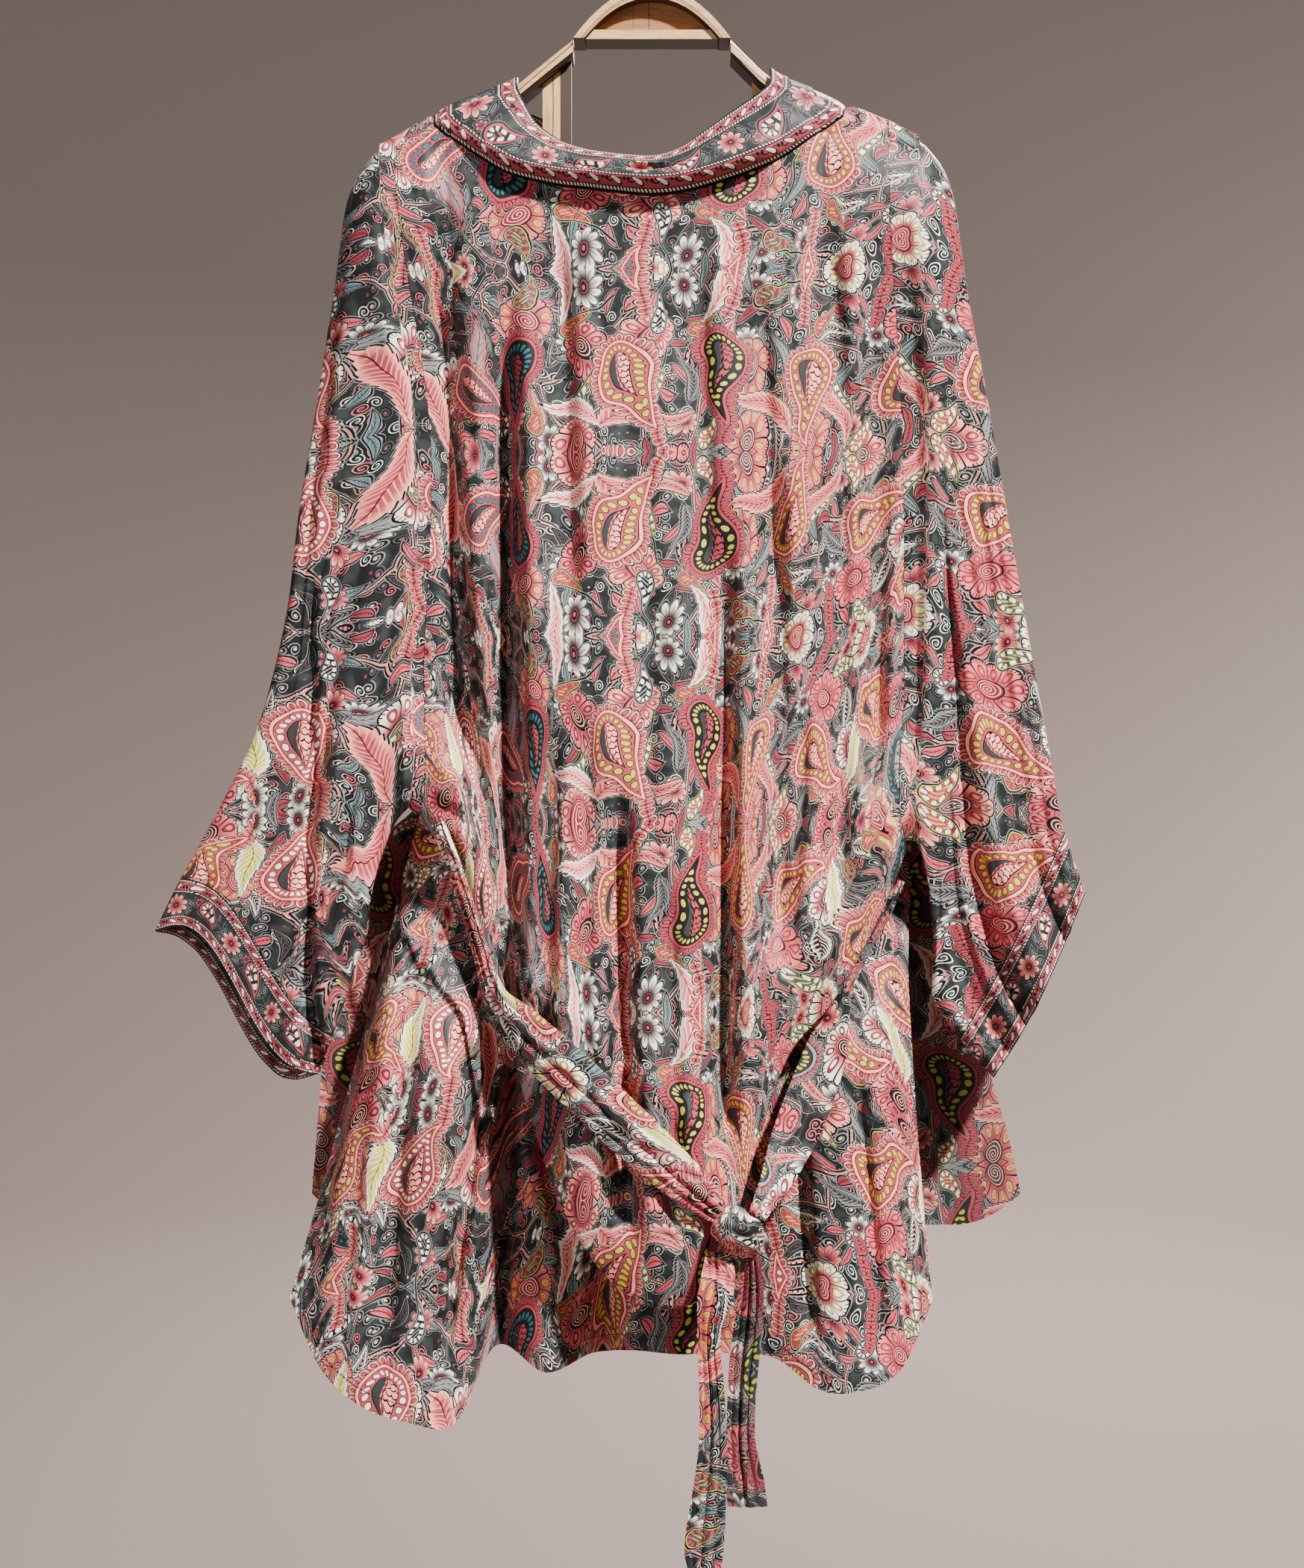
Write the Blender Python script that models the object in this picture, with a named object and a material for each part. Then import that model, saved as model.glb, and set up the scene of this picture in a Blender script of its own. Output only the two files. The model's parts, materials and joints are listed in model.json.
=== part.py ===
"""A short satin kimono robe on a wooden hanger, hung with its back to -Y and tied low at the back.

Units in the tables are millimetres: across is +X, down is measured below the hook's bearing point,
and depth is +Y, away from the viewer. The tables give each point as it is seen against the hanging
plane; seen() moves it to its true place. The origin is where the hook bears on its rail.
"""
import math
from collections import namedtuple

import bmesh
import bpy
import numpy as np

MM = 0.001
WALL = 1.5            # satin with its hem and seam turnings
BAND_WALL = 2.0       # neck band, cuffs and ties are of doubled cloth
SEAM = 0.35           # gap between two pieces at a seam
LIFT = 0.5            # gap between the cloth and the wood it lies on
NECK_LIFT = 1.8       # the same for the neck band and the seam below it
LIE_REACH = 13.0      # how far around a tie's point the cloth below it is looked for
LIE_GAP = 1.0         # gap between a tie and the cloth it lies on
SIGHT_DISTANCE = 1700.0
SIGHT_DOWN = 670.0

ARM_HALF_DEPTH = 22.0 # the arm and the air that the cloth leaves beside it
ARM_HEIGHT = 16.0
ARM_CORNER = 8.0
WOOD_HALF_DEPTH = 14.0
ARM_END = 7.0         # how much shorter each arm is than the shoulder that it carries
REST = WALL + LIFT
FOLD_RADIUS = 4.5     # the turn at the pouch's lower edge
POCKET_RADIUS = 6.0   # the turn above it, where the ties lie
FOLD_TURN = 0.25      # how far the cloth behind the pouch turns towards its middle
SIDE_LEAN = 0.35      # how far the fold's direction leans inwards at the side edges
POUCH_LEAN = 0.28     # how fast the cloth behind the pouch leaves it

# The top of each hanger arm, from the arch outwards
LEFT_ARM = (
    (-60, 97), (-74, 108), (-90, 121), (-107, 135), (-129, 145), (-151, 154), (-178, 168),
    (-206, 183),
)
RIGHT_ARM = ((60, 97), (72, 109), (84, 121), (98, 132), (121, 142), (150, 155), (180, 165), (202, 176))

# One row for each fold line of the back, from the left armhole to the right one.
# roll is 1 where the cloth turns over the hanger arm and 0 along the neck seam.
Gore = namedtuple("Gore", "top_across top_down top_depth roll mid_across mid_down mid_depth "
                          "edge_across edge_down edge_depth tuck flare skirt_depth "
                          "hem_across hem_down hem_depth")
GORES = (
    Gore(-198, 176, 0, 1, -170, 414, -27, -181, 700, -26, 11, 0.32, 20, -279, 1066, -16),
    Gore(-176, 165, 0, 1, -153, 422, -33, -158, 719, -34, 11, 0.50, -34, -256, 1119, -46),
    Gore(-158, 171, -25, 0, -145, 428, -37, -142, 760, -40, 12, 0.50, -44, -226, 1148, -68),
    Gore(-135, 186, -28, 0, -125, 440, -42, -130, 800, -45, 13, 0.50, -48, -190, 1161, -80),
    Gore(-111, 200, -30, 0, -106, 468, -44, -118, 842, -50, 15, 0.50, -40, -152, 1162, -64),
    Gore(-75, 209, -32, 0, -87, 480, -49, -100, 905, -58, 22, 0.50, -18, -120, 1102, -14),
    Gore(-50, 212, -33, 0, -63, 491, -53, -72, 990, -70, 36, 0.50, -34, -82, 1123, -46),
    Gore(-25, 215, -33, 0, -37, 503, -56, -43, 1040, -80, 46, 0.50, -28, -46, 1108, -18),
    Gore(1, 217, -34, 0, -11, 514, -57, -14, 1066, -88, 50, 0.50, -32, -14, 1106, -32),
    Gore(26, 214, -33, 0, 15, 514, -57, 18, 1074, -90, 50, 0.50, -34, 20, 1109, -36),
    Gore(52, 207, -32, 0, 41, 503, -56, 50, 1052, -84, 44, 0.50, -28, 60, 1108, -20),
    Gore(78, 198, -31, 0, 72, 491, -55, 76, 965, -74, 32, 0.50, -30, 95, 1112, -38),
    Gore(102, 187, -30, 0, 105, 468, -51, 104, 882, -64, 26, 0.50, -38, 128, 1136, -60),
    Gore(130, 168, -27, 0, 134, 445, -46, 139, 838, -56, 22, 0.45, -42, 158, 1138, -66),
    Gore(158, 158, 0, 1, 164, 428, -38, 177, 769, -44, 18, 0.35, -36, 191, 1122, -54),
    Gore(182, 166, 0, 1, 193, 414, -30, 197, 718, -30, 13, 0.20, -14, 216, 1068, -22),
)
NECK_FIRST = 1        # the gores between which the neck band is sewn on
NECK_LAST = 14
COLUMNS_PER_GORE = 3

# The largest creases of the back above the pouch: a soft trough along each line
Crease = namedtuple("Crease", "across_1 down_1 across_2 down_2 half_width depth")
BACK_CREASES = (
    Crease(-112, 330, -108, 800, 10, 16),
    Crease(-156, 230, -150, 620, 11, 9),
    Crease(-24, 700, -18, 1000, 9, 12),
    Crease(60, 480, 54, 960, 10, 13),
    Crease(20, 300, 6, 620, 12, 5),
    Crease(168, 230, 176, 640, 9, 8),
    Crease(120, 560, 92, 800, 11, 7),
)

# One row for each level of the fronts: where the neck band is sewn and where the side edge hangs
Level = namedtuple("Level", "down left_edge left_side right_edge right_side depth side_depth")
FRONT_LEVELS = (
    Level(198, -142, -194, 130, 184, 29, 26),
    Level(222, -129, -192, 118, 186, 32, 26),
    Level(255, -113, -188, 104, 188, 34, 26),
    Level(310, -94, -180, 87, 191, 37, 27),
    Level(414, -74, -171, 70, 193, 40, 28),
    Level(550, -62, -170, 59, 200, 42, 28),
    Level(684, -57, -178, 54, 197, 42, 28),
    Level(716, -56, -213, 53, 205, 42, 32),
    Level(780, -55, -232, 52, 234, 42, 36),
    Level(880, -54, -253, 51, 257, 40, 36),
    Level(960, -54, -260, 50, 279, 40, 33),
    Level(1009, -54, -262, 50, 284, 40, 31),
)
ARMHOLE_LEVELS = 7    # the rows above the slit
HEM_CORNER = 24       # how far the hem's rounded side corners rise
FRONT_COLUMNS = 10
BAND_WIDTH = 46
BAND_COLUMNS = 4

# The neck band's free edge along the back neck, at each gore from NECK_FIRST to NECK_LAST
FreeEdge = namedtuple("FreeEdge", "across down depth")
BAND_FREE_BACK = (
    FreeEdge(-106, 133, 0),
    FreeEdge(-99, 143, -25),
    FreeEdge(-89, 160, -27),
    FreeEdge(-72, 173, -28),
    FreeEdge(-52, 180, -28),
    FreeEdge(-34, 183, -28),
    FreeEdge(-14, 185, -28),
    FreeEdge(4, 185, -28),
    FreeEdge(22, 179, -28),
    FreeEdge(40, 167, -28),
    FreeEdge(58, 154, -28),
    FreeEdge(74, 143, -27),
    FreeEdge(88, 133, -25),
    FreeEdge(94, 127, 0),
)

# One row for each section of a sleeve, from the armhole to the cuff seam and then the cuff's edge:
# its upper fold, its lower fold, half its thickness, how far the near layer's edge hangs above the
# far layer's, how far the lower fold swings towards the viewer, and how far the edge rises in its
# upper half and sags in its lower one
Section = namedtuple(
    "Section", "top_across top_down low_across low_down half_depth near_drop low_depth sway", defaults=(0,)
)
UNDERARM_DROP = -3    # how far the sleeve's underarm hangs below the line between back and front
HEAD_SHARE = 0.17     # the part of a sleeve that lies over the hanger arm
LEFT_SLEEVE = (
    Section(-208, 181, -187, 688, 24, 0, 0),
    Section(-219, 191, -193, 694, 24, 0, -1),
    Section(-235, 222, -200, 705, 23, 0, -4),
    Section(-245, 290, -206, 720, 22, 0, -9),
    Section(-258, 374, -212, 738, 20, 0, -14),
    Section(-272, 460, -217, 760, 19, 0, -19),
    Section(-282, 540, -219, 784, 19, 0, -22),
    Section(-302, 620, -228, 810, 19, -3, -24, 1),
    Section(-330, 682, -236, 836, 20, -5, -25, 5),
    Section(-363, 742, -246, 864, 22, -8, -24, 13),
)
LEFT_CUFF = Section(-383, 783, -258, 893, 23, -10, -22, 20)
RIGHT_SLEEVE = (
    Section(193, 169, 204, 714, 24, 0, 0),
    Section(213, 181, 210, 730, 24, 0, -1),
    Section(231, 213, 214, 752, 23, 0, -3),
    Section(243, 290, 216, 777, 22, 0, -6),
    Section(259, 376, 217, 800, 21, 0, -9),
    Section(274, 463, 216, 819, 20, 0, -12),
    Section(290, 555, 216, 834, 19, 2, -14),
    Section(304, 632, 222, 846, 19, 4, -15),
    Section(318, 706, 237, 866, 20, 8, -14),
)
RIGHT_CUFF = Section(334, 753, 263, 896, 21, 12, -12)

# The sleeves' main lengthwise folds: place is 0 at the upper fold and 1 at the lower one
SleeveFold = namedtuple("SleeveFold", "place half_width near_depth far_depth starts")
LEFT_FOLDS = (
    SleeveFold(0.22, 0.05, 6, 5, 0.15),
    SleeveFold(0.45, 0.06, 9, -6, 0.30),
    SleeveFold(0.68, 0.05, 12, 8, 0.45),
    SleeveFold(0.86, 0.04, -8, 6, 0.50),
)
RIGHT_FOLDS = (
    SleeveFold(0.20, 0.06, 7, 5, 0.10),
    SleeveFold(0.42, 0.05, -6, 7, 0.25),
    SleeveFold(0.62, 0.06, 9, -6, 0.35),
    SleeveFold(0.83, 0.05, 7, 6, 0.45),
)

# The ties: centre line and width, the left one over the back and the right one in the pocket below it
Tie = namedtuple("Tie", "across down width")
TIE_LEFT = (
    Tie(-165, 700, 11), Tie(-155, 727, 12), Tie(-143, 762, 12), Tie(-131, 802, 13), Tie(-121, 832, 18),
    Tie(-108, 851, 32), Tie(-80, 878, 38), Tie(-40, 916, 40), Tie(0, 953, 38), Tie(34, 984, 30),
    Tie(52, 1000, 20),
)
Strap = namedtuple("Strap", "across down width depth")
TIE_RIGHT = (
    Strap(190.6, 743.5, 9, -30), Strap(178, 772, 10, -32), Strap(160, 802, 12, -35), Strap(146, 832, 16, -40),
    Strap(137, 866, 30, -44), Strap(124, 905, 36, -51), Strap(108, 945, 34, -62), Strap(95, 976, 24, -80),
    Strap(80.6, 1003.2, 14, -101),
)
Tail = namedtuple("Tail", "down left right depth")
TAIL_LEFT = (
    Tail(1030, 42, 60, -100), Tail(1047, 38, 64, -102), Tail(1066, 35, 62, -104), Tail(1090, 35, 53, -101),
    Tail(1127, 36, 55, -98), Tail(1180, 36, 58, -97), Tail(1228, 29, 57, -96), Tail(1262, 25, 55, -95),
    Tail(1281, 29, 52, -95),
)
TAIL_RIGHT = (
    Tail(1031.9, 69, 83, -95.2), Tail(1054, 67, 86, -90), Tail(1080, 64, 86, -84), Tail(1110, 60, 83, -78),
    Tail(1145, 58, 80, -76), Tail(1178, 57, 80, -75), Tail(1204, 57, 86, -74), Tail(1226, 58, 89, -74),
)
# The knot: rings along its length, which runs from upper left to lower right
Ring = namedtuple("Ring", "across down depth radius")
KNOT = (
    Ring(52, 1001, -99, 7), Ring(56, 1005, -102, 13), Ring(62, 1011, -104, 16), Ring(70, 1018, -103, 16),
    Ring(77, 1025, -100, 12), Ring(81, 1030, -97, 6),
)

# The hanger
HOOK_WIRE = 2.0
HOOK_RADIUS = 22.0
ARCH_TOP = 61.0
ARCH_BASE = 100.0
ARCH_HALF_WIDTH = 60.0
RIM = 8.5
ARCH_HALF_DEPTH = 15.0
PANEL_HALF_DEPTH = 5.0
ARCH_POWER = 2.1      # how pointed the arch is: 2 is a parabola
CROSSBAR_HEIGHT = 7.0
CROSSBAR_GAP = 1.0
BRACE_HALF_DEPTH = 4.0
Brace = namedtuple("Brace", "name inner outer foot")
BRACES = (Brace("brace_left", -62, -84, 300), Brace("brace_right", 77, 89, 300))

Finish = namedtuple("Finish", "colour roughness metallic")
SATIN = Finish((0.30, 0.20, 0.20), 0.38, 0.0)
BORDER = Finish((0.10, 0.13, 0.14), 0.40, 0.0)
PALE_WOOD = Finish((0.72, 0.55, 0.36), 0.45, 0.0)
TAN_WOOD = Finish((0.50, 0.32, 0.18), 0.50, 0.0)
STEEL = Finish((0.62, 0.62, 0.60), 0.25, 1.0)


def seen(points):
    """Moves points given as (across, down, depth) in the hanging plane to their true place."""
    points = np.asarray(points, dtype=float)
    shrink = (SIGHT_DISTANCE + points[..., 2]) / SIGHT_DISTANCE
    across = points[..., 0] * shrink
    down = SIGHT_DOWN + (points[..., 1] - SIGHT_DOWN) * shrink
    return np.stack([across, points[..., 2], -down], axis=-1)


def through(keys, steps):
    """A smooth curve through keys along their first axis, with steps[i] parts in span i."""
    keys = np.asarray(keys, dtype=float)
    spans = np.linalg.norm(np.diff(keys, axis=0), axis=-1, keepdims=True)
    spans = np.maximum(spans, 1e-6)
    slopes = np.diff(keys, axis=0) / spans
    tangents = np.empty_like(keys)
    tangents[0] = slopes[0]
    tangents[-1] = slopes[-1]
    tangents[1:-1] = (slopes[:-1] * spans[1:] + slopes[1:] * spans[:-1]) / (spans[1:] + spans[:-1])
    rows = [keys[0]]
    for i, count in enumerate(steps):
        for part in range(1, count + 1):
            t = part / count
            rows.append(
                (2 * t**3 - 3 * t**2 + 1) * keys[i]
                + (t**3 - 2 * t**2 + t) * spans[i] * tangents[i]
                + (3 * t**2 - 2 * t**3) * keys[i + 1]
                + (t**3 - t**2) * spans[i] * tangents[i + 1]
            )
    return np.array(rows)


def refined(table, count):
    """The rows of a table, as an array, with count smooth steps from each row to the next."""
    rows = np.asarray(table, dtype=float)
    padded = np.concatenate([2 * rows[:1] - rows[1:2], rows, 2 * rows[-1:] - rows[-2:-1]])
    out = []
    for i in range(len(rows) - 1):
        a, b, c, d = padded[i : i + 4]
        for part in range(count):
            t = part / count
            out.append(0.5 * (2 * b + (c - a) * t + (2 * a - 5 * b + 4 * c - d) * t**2
                              + (3 * b - a - 3 * c + d) * t**3))
    out.append(rows[-1])
    return np.array(out)


def arm_top(across):
    """How far down the top of the hanger arm is at a place across."""
    table = np.array(tuple(reversed(LEFT_ARM)) + RIGHT_ARM, dtype=float)
    return np.interp(across, table[:, 0], table[:, 1])


def crease_depth(across, down, creases):
    """How far the creases push the cloth in at a place."""
    total = np.zeros_like(across)
    for c in creases:
        run = np.array([c.across_2 - c.across_1, c.down_2 - c.down_1], dtype=float)
        length = np.linalg.norm(run)
        run /= length
        along = (across - c.across_1) * run[0] + (down - c.down_1) * run[1]
        aside = (across - c.across_1) * run[1] - (down - c.down_1) * run[0]
        fade = np.clip(along / (0.25 * length) + 0.5, 0, 1)
        fade = fade * np.clip((length - along) / (0.25 * length) + 0.5, 0, 1)
        fade = fade * fade * (3 - 2 * fade)
        total += c.depth * np.exp(-((aside / c.half_width) ** 2)) * fade
    return total


def inward(grid, turn=1, closed=False):
    """The direction from the outside to the inside of the cloth at each point of a grid."""
    if closed:
        along_u = np.roll(grid, -1, axis=1) - np.roll(grid, 1, axis=1)
    else:
        along_u = np.gradient(grid, axis=1)
    along_v = np.gradient(grid, axis=0)
    direction = turn * np.cross(along_u, along_v)
    for _ in range(2 if closed else 1):
        direction /= np.maximum(np.linalg.norm(direction, axis=-1, keepdims=True), 1e-9)
        before, after = np.roll(direction, 1, axis=1), np.roll(direction, -1, axis=1)
        if not closed:
            before[:, 0], after[:, -1] = direction[:, 0], direction[:, -1]
        direction = before + 2 * direction + after
    length = np.linalg.norm(direction, axis=-1, keepdims=True)
    return direction / np.maximum(length, 1e-9)


def flattened(direction, axis):
    """Directions with no part along an axis, so that two seam edges stay side by side."""
    direction = direction.copy()
    direction[..., axis] = 0.0
    return direction / np.linalg.norm(direction, axis=-1, keepdims=True)


def material(finish_name, finish):
    """The Principled material of one piece."""
    made = bpy.data.materials.new(finish_name)
    made.use_nodes = True
    shader = made.node_tree.nodes["Principled BSDF"]
    shader.inputs["Base Color"].default_value = (*finish.colour, 1.0)
    shader.inputs["Roughness"].default_value = finish.roughness
    shader.inputs["Metallic"].default_value = finish.metallic
    return made


def add_object(name, vertices, faces, finish):
    """Makes one closed solid from vertices in millimetres."""
    shape = bmesh.new()
    made = [shape.verts.new(np.asarray(v) * MM) for v in vertices]
    for face in faces:
        shape.faces.new([made[i] for i in face])
    bmesh.ops.recalc_face_normals(shape, faces=shape.faces)
    if shape.calc_volume(signed=True) < 0:
        bmesh.ops.reverse_faces(shape, faces=shape.faces)
    mesh = bpy.data.meshes.new(name)
    shape.to_mesh(mesh)
    shape.free()
    mesh.materials.append(material(name + "_finish", finish))
    mesh.shade_smooth()
    mesh.set_sharp_from_angle(angle=math.radians(50))
    body = bpy.data.objects.new(name, mesh)
    bpy.context.collection.objects.link(body)
    return body


def add_sheet(name, grid, direction, wall, finish, closed=False):
    """Makes a wall of cloth from the grid of its outside and the direction to its inside."""
    rows, columns = grid.shape[:2]
    vertices = np.concatenate([grid.reshape(-1, 3), (grid + wall * direction).reshape(-1, 3)])
    inner = rows * columns
    around = columns if closed else columns - 1
    faces = []
    for r in range(rows - 1):
        for c in range(around):
            a = r * columns + c
            b = r * columns + (c + 1) % columns
            faces.append((a, b, b + columns, a + columns))
            faces.append((inner + a, inner + a + columns, inner + b + columns, inner + b))
    for c in range(around):
        for r in (0, rows - 1):
            a = r * columns + c
            b = r * columns + (c + 1) % columns
            faces.append((a, b, inner + b, inner + a))
    if not closed:
        for r in range(rows - 1):
            for c in (0, columns - 1):
                a = r * columns + c
                faces.append((a, a + columns, inner + a + columns, inner + a))
    return add_object(name, vertices, faces, finish)


def add_loft(name, rings, finish):
    """Makes a solid from rings of equal count, closed by a face at each end."""
    rings = np.asarray(rings, dtype=float)
    count = rings.shape[1]
    faces = [tuple(range(count)), tuple(range((len(rings) - 1) * count, len(rings) * count))]
    for r in range(len(rings) - 1):
        for c in range(count):
            a = r * count + c
            b = r * count + (c + 1) % count
            faces.append((a, b, b + count, a + count))
    return add_object(name, rings.reshape(-1, 3), faces, finish)


def back_grid():
    """The back, in the hanging plane: down to the pouch's edge, up behind it, and down to the hem."""
    table = refined(GORES, COLUMNS_PER_GORE)
    g = Gore(*table.T)
    roll = np.clip(g.roll, 0, 1)
    top_depth = np.minimum(g.top_depth, 0)
    resting = arm_top(g.top_across) - REST
    top_down = np.where(g.roll > 0.99, resting, g.top_down)
    edge = np.stack([g.edge_across, g.edge_down], axis=-1)
    run = np.gradient(edge, axis=0)
    run /= np.linalg.norm(run, axis=-1, keepdims=True)
    into = np.stack([run[:, 1], -run[:, 0]], axis=-1)
    columns = np.arange(len(into))
    from_side = np.minimum(columns, columns[::-1])
    settled = np.clip(from_side / (1.4 * COLUMNS_PER_GORE), 0, 1)[:, None]
    lean = np.stack([np.where(columns < len(into) / 2, SIDE_LEAN, -SIDE_LEAN), -np.ones(len(into))], axis=-1)
    into = np.stack([into[:, 0] * FOLD_TURN, -np.ones(len(into))], axis=-1)
    into = settled * into + (1 - settled) * lean
    into /= np.linalg.norm(into, axis=-1, keepdims=True)

    def key(across, down, depth):
        return np.stack([across, down, depth], axis=-1)

    def fold_key(reach, depth):
        return key(g.edge_across + reach * into[:, 0], g.edge_down + reach * into[:, 1], depth)

    arc = math.sin(math.radians(45))
    corner = ARM_CORNER + REST
    flat = ARM_HALF_DEPTH - ARM_CORNER
    over = [
        (flat, 0.0, 0.3, 4.0),
        (flat + corner * arc, corner * (1 - arc), 0.6, 9.0),
        (flat + corner, corner, 1.0, 16.0),
    ]
    keys = [key(g.top_across, top_down, top_depth - roll * SEAM / 2)]
    for reach, drop, ease, fall in over:
        depth = top_depth - roll * reach - (1 - roll) * ease
        keys.append(key(g.top_across, top_down + roll * drop + (1 - roll) * fall, depth))
    keys.append(key(g.mid_across, g.mid_down, g.mid_depth))
    pinch = np.minimum(12, 0.45 * g.tuck)
    before = fold_key(pinch, g.edge_depth)
    middle = keys[-1] * 0.42 + before * 0.58
    middle[:, 2] -= 6 * np.sin(np.linspace(0, math.pi, len(middle)))
    keys += [middle, before]
    keys.append(fold_key(0, g.edge_depth + FOLD_RADIUS))
    behind = g.edge_depth + 2 * FOLD_RADIUS
    keys.append(fold_key(0.7 * pinch, behind))
    inner = behind + POUCH_LEAN * g.tuck
    keys.append(fold_key(g.tuck, inner))
    keys.append(fold_key(g.tuck + 4, inner + POCKET_RADIUS))
    keys.append(fold_key(g.tuck - 2, inner + 2 * POCKET_RADIUS))
    start = keys[-1]
    hem = key(g.hem_across, g.hem_down, g.hem_depth)
    for share in (1 / 3, 2 / 3):
        spread = share + (g.flare - 1 / 3) * (4 * share * (1 - share)) * 9 / 8
        row = start * (1 - share) + hem * share
        row[:, 0] = start[:, 0] * (1 - spread) + hem[:, 0] * spread
        row[:, 2] = g.skirt_depth * (1 - share / 2) + hem[:, 2] * share / 2
        keys.append(row)
    keys.append(hem)
    grid = through(keys, BACK_STEPS)
    push = crease_depth(grid[..., 0], grid[..., 1], BACK_CREASES)
    fade = np.clip((grid[..., 1] - grid[:1, :, 1] - 20) / 60, 0, 1)
    grid[..., 2] += push * fade
    return grid


BACK_STEPS = (1, 1, 1, 3, 3, 3, 1, 1, 1, 1, 1, 2, 3, 3)
BACK_ARMHOLE = 1 + sum(BACK_STEPS[:6])


def front_grid(side):
    """One front, in the hanging plane, from its neck edge to its side edge."""
    left = side < 0
    across = np.linspace(0, 1, FRONT_COLUMNS)
    neck = GORES[NECK_FIRST] if left else GORES[NECK_LAST]
    tip = GORES[0] if left else GORES[-1]
    top_across = neck.top_across + (tip.top_across - neck.top_across) * across
    top_down = arm_top(top_across) - REST
    arc = math.sin(math.radians(45))
    corner = ARM_CORNER + REST
    flat = ARM_HALF_DEPTH - ARM_CORNER
    keys = [np.stack([top_across, top_down, np.full_like(across, SEAM / 2)], axis=-1)]
    for reach, drop in ((flat, 0.0), (flat + corner * arc, corner * (1 - arc)), (flat + corner, corner)):
        keys.append(np.stack([top_across, top_down + drop, np.full_like(across, reach)], axis=-1))
    for level in FRONT_LEVELS:
        edge = level.left_edge if left else level.right_edge
        hang = level.left_side if left else level.right_side
        wave = 3.0 * np.sin(across * 3 * math.pi) * np.sin(across * math.pi)
        swell = (level.down - FRONT_LEVELS[0].down) / (FRONT_LEVELS[-1].down - FRONT_LEVELS[0].down)
        depth = level.depth + (level.side_depth - level.depth) * across**2 + (1 + 2 * swell) * wave
        down = np.full_like(across, float(level.down))
        if level is FRONT_LEVELS[-1]:
            down -= HEM_CORNER * np.clip((across - 0.78) / 0.22, 0, 1) ** 2
        keys.append(np.stack([edge + (hang - edge) * across, down, depth], axis=-1))
    return through(keys, FRONT_STEPS)


FRONT_STEPS = (1, 1, 1, 1, 1, 1, 1, 2, 2, 2, 1, 1, 2, 1, 1)
FRONT_ARMHOLE = 1 + sum(FRONT_STEPS[: 3 + ARMHOLE_LEVELS])


def sleeve_grid(start, sections, folds, cuff):
    """A sleeve's rings, in the hanging plane, from the armhole ring to the cuff's edge."""
    near = start[:, 2] < 0
    down = start[:, 1]
    first_place = (down - down.min()) / (down.max() - down.min())
    count_near = int(near.sum())
    count_far = len(start) - count_near
    near_angle = math.pi * (np.arange(count_near) + 0.5) / count_near
    far_angle = math.pi * (np.arange(count_far) + 0.5) / count_far
    angle = np.concatenate([near_angle, far_angle[::-1]])
    rings = refined(sections + (cuff,), 2)
    head = start[near, :][0]
    foot = start[near, :][-1]
    rows = [start]
    count = len(rings)
    half = ARM_HALF_DEPTH + REST
    for i, ring in enumerate(rings):
        s = Section(*ring)
        t = (i + 1) / count
        keep = min(1.0, max(0.0, 1 - (t - HEAD_SHARE) / 0.40)) ** 2
        place = keep * first_place + (1 - keep) * (1 - np.cos(angle)) / 2
        line_across = s.top_across + (s.low_across - s.top_across) * place
        line_down = s.top_down + (s.low_down - s.top_down) * place
        straight = head[0] + (foot[0] - head[0]) * first_place
        bulge = (start[:, 0] - straight) * keep
        shape = keep * np.abs(start[:, 2]) / half + (1 - keep) * np.sin(angle) ** 0.55
        depth = s.half_depth * shape
        for fold in folds:
            rise = np.clip((t - fold.starts) / 0.4, 0, 1)
            push = np.exp(-(((place - fold.place) / fold.half_width) ** 2)) * rise
            depth = depth - push * np.where(near, fold.near_depth, fold.far_depth)
        drop = s.near_drop * np.sin(math.pi * place) * np.where(near, 1, -1)
        drop = drop - s.sway * np.sin(2 * math.pi * place)
        swing = s.low_depth * place
        out = swing + np.where(near, -depth, depth)
        rows.append(np.stack([line_across + bulge, line_down + drop, out], axis=-1))
    return np.array(rows)


def band_ring(back, fronts):
    """The seam line of the neck band: up the left front, round the back neck, down the right front."""
    first = NECK_FIRST * COLUMNS_PER_GORE
    last = NECK_LAST * COLUMNS_PER_GORE
    left = fronts[0][::-1, 0]
    right = fronts[1][:, 0]
    return np.concatenate([left, back[0, first : last + 1], right]), len(left), last + 1 - first


def band_grid(back, fronts):
    """The neck band's rows run along it; its columns run from its seam to its free edge."""
    seam, rise, neck = band_ring(back, fronts)
    free = np.empty_like(seam)
    free[rise : rise + neck] = refined(BAND_FREE_BACK, COLUMNS_PER_GORE)
    for side, rows in ((-1, range(rise - 1, -1, -1)), (1, range(rise + neck, len(seam)))):
        start = free[rise] if side < 0 else free[rise + neck - 1]
        rows = list(rows)
        for count, row in enumerate(rows):
            ahead = seam[rows[min(count + 1, len(rows) - 1)]]
            behind = seam[rows[max(count - 1, 0)]]
            run = (ahead - behind)[:2]
            run = run / max(np.linalg.norm(run), 1e-6)
            aside = np.array([-side * run[1], side * run[0]])
            settled = np.clip((seam[row, 1] - 190) / 90, 0, 1)
            spread = start[:2] - (seam[rise] if side < 0 else seam[rise + neck - 1])[:2]
            reach = (1 - settled) * spread + settled * BAND_WIDTH * aside
            free[row, :2] = seam[row, :2] + reach
            free[row, 2] = seam[row, 2] + 3 * settled
    share = np.linspace(0, 1, BAND_COLUMNS)[None, :, None]
    grid = seam[:, None, :] * (1 - share) + free[:, None, :] * share
    return grid


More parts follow.
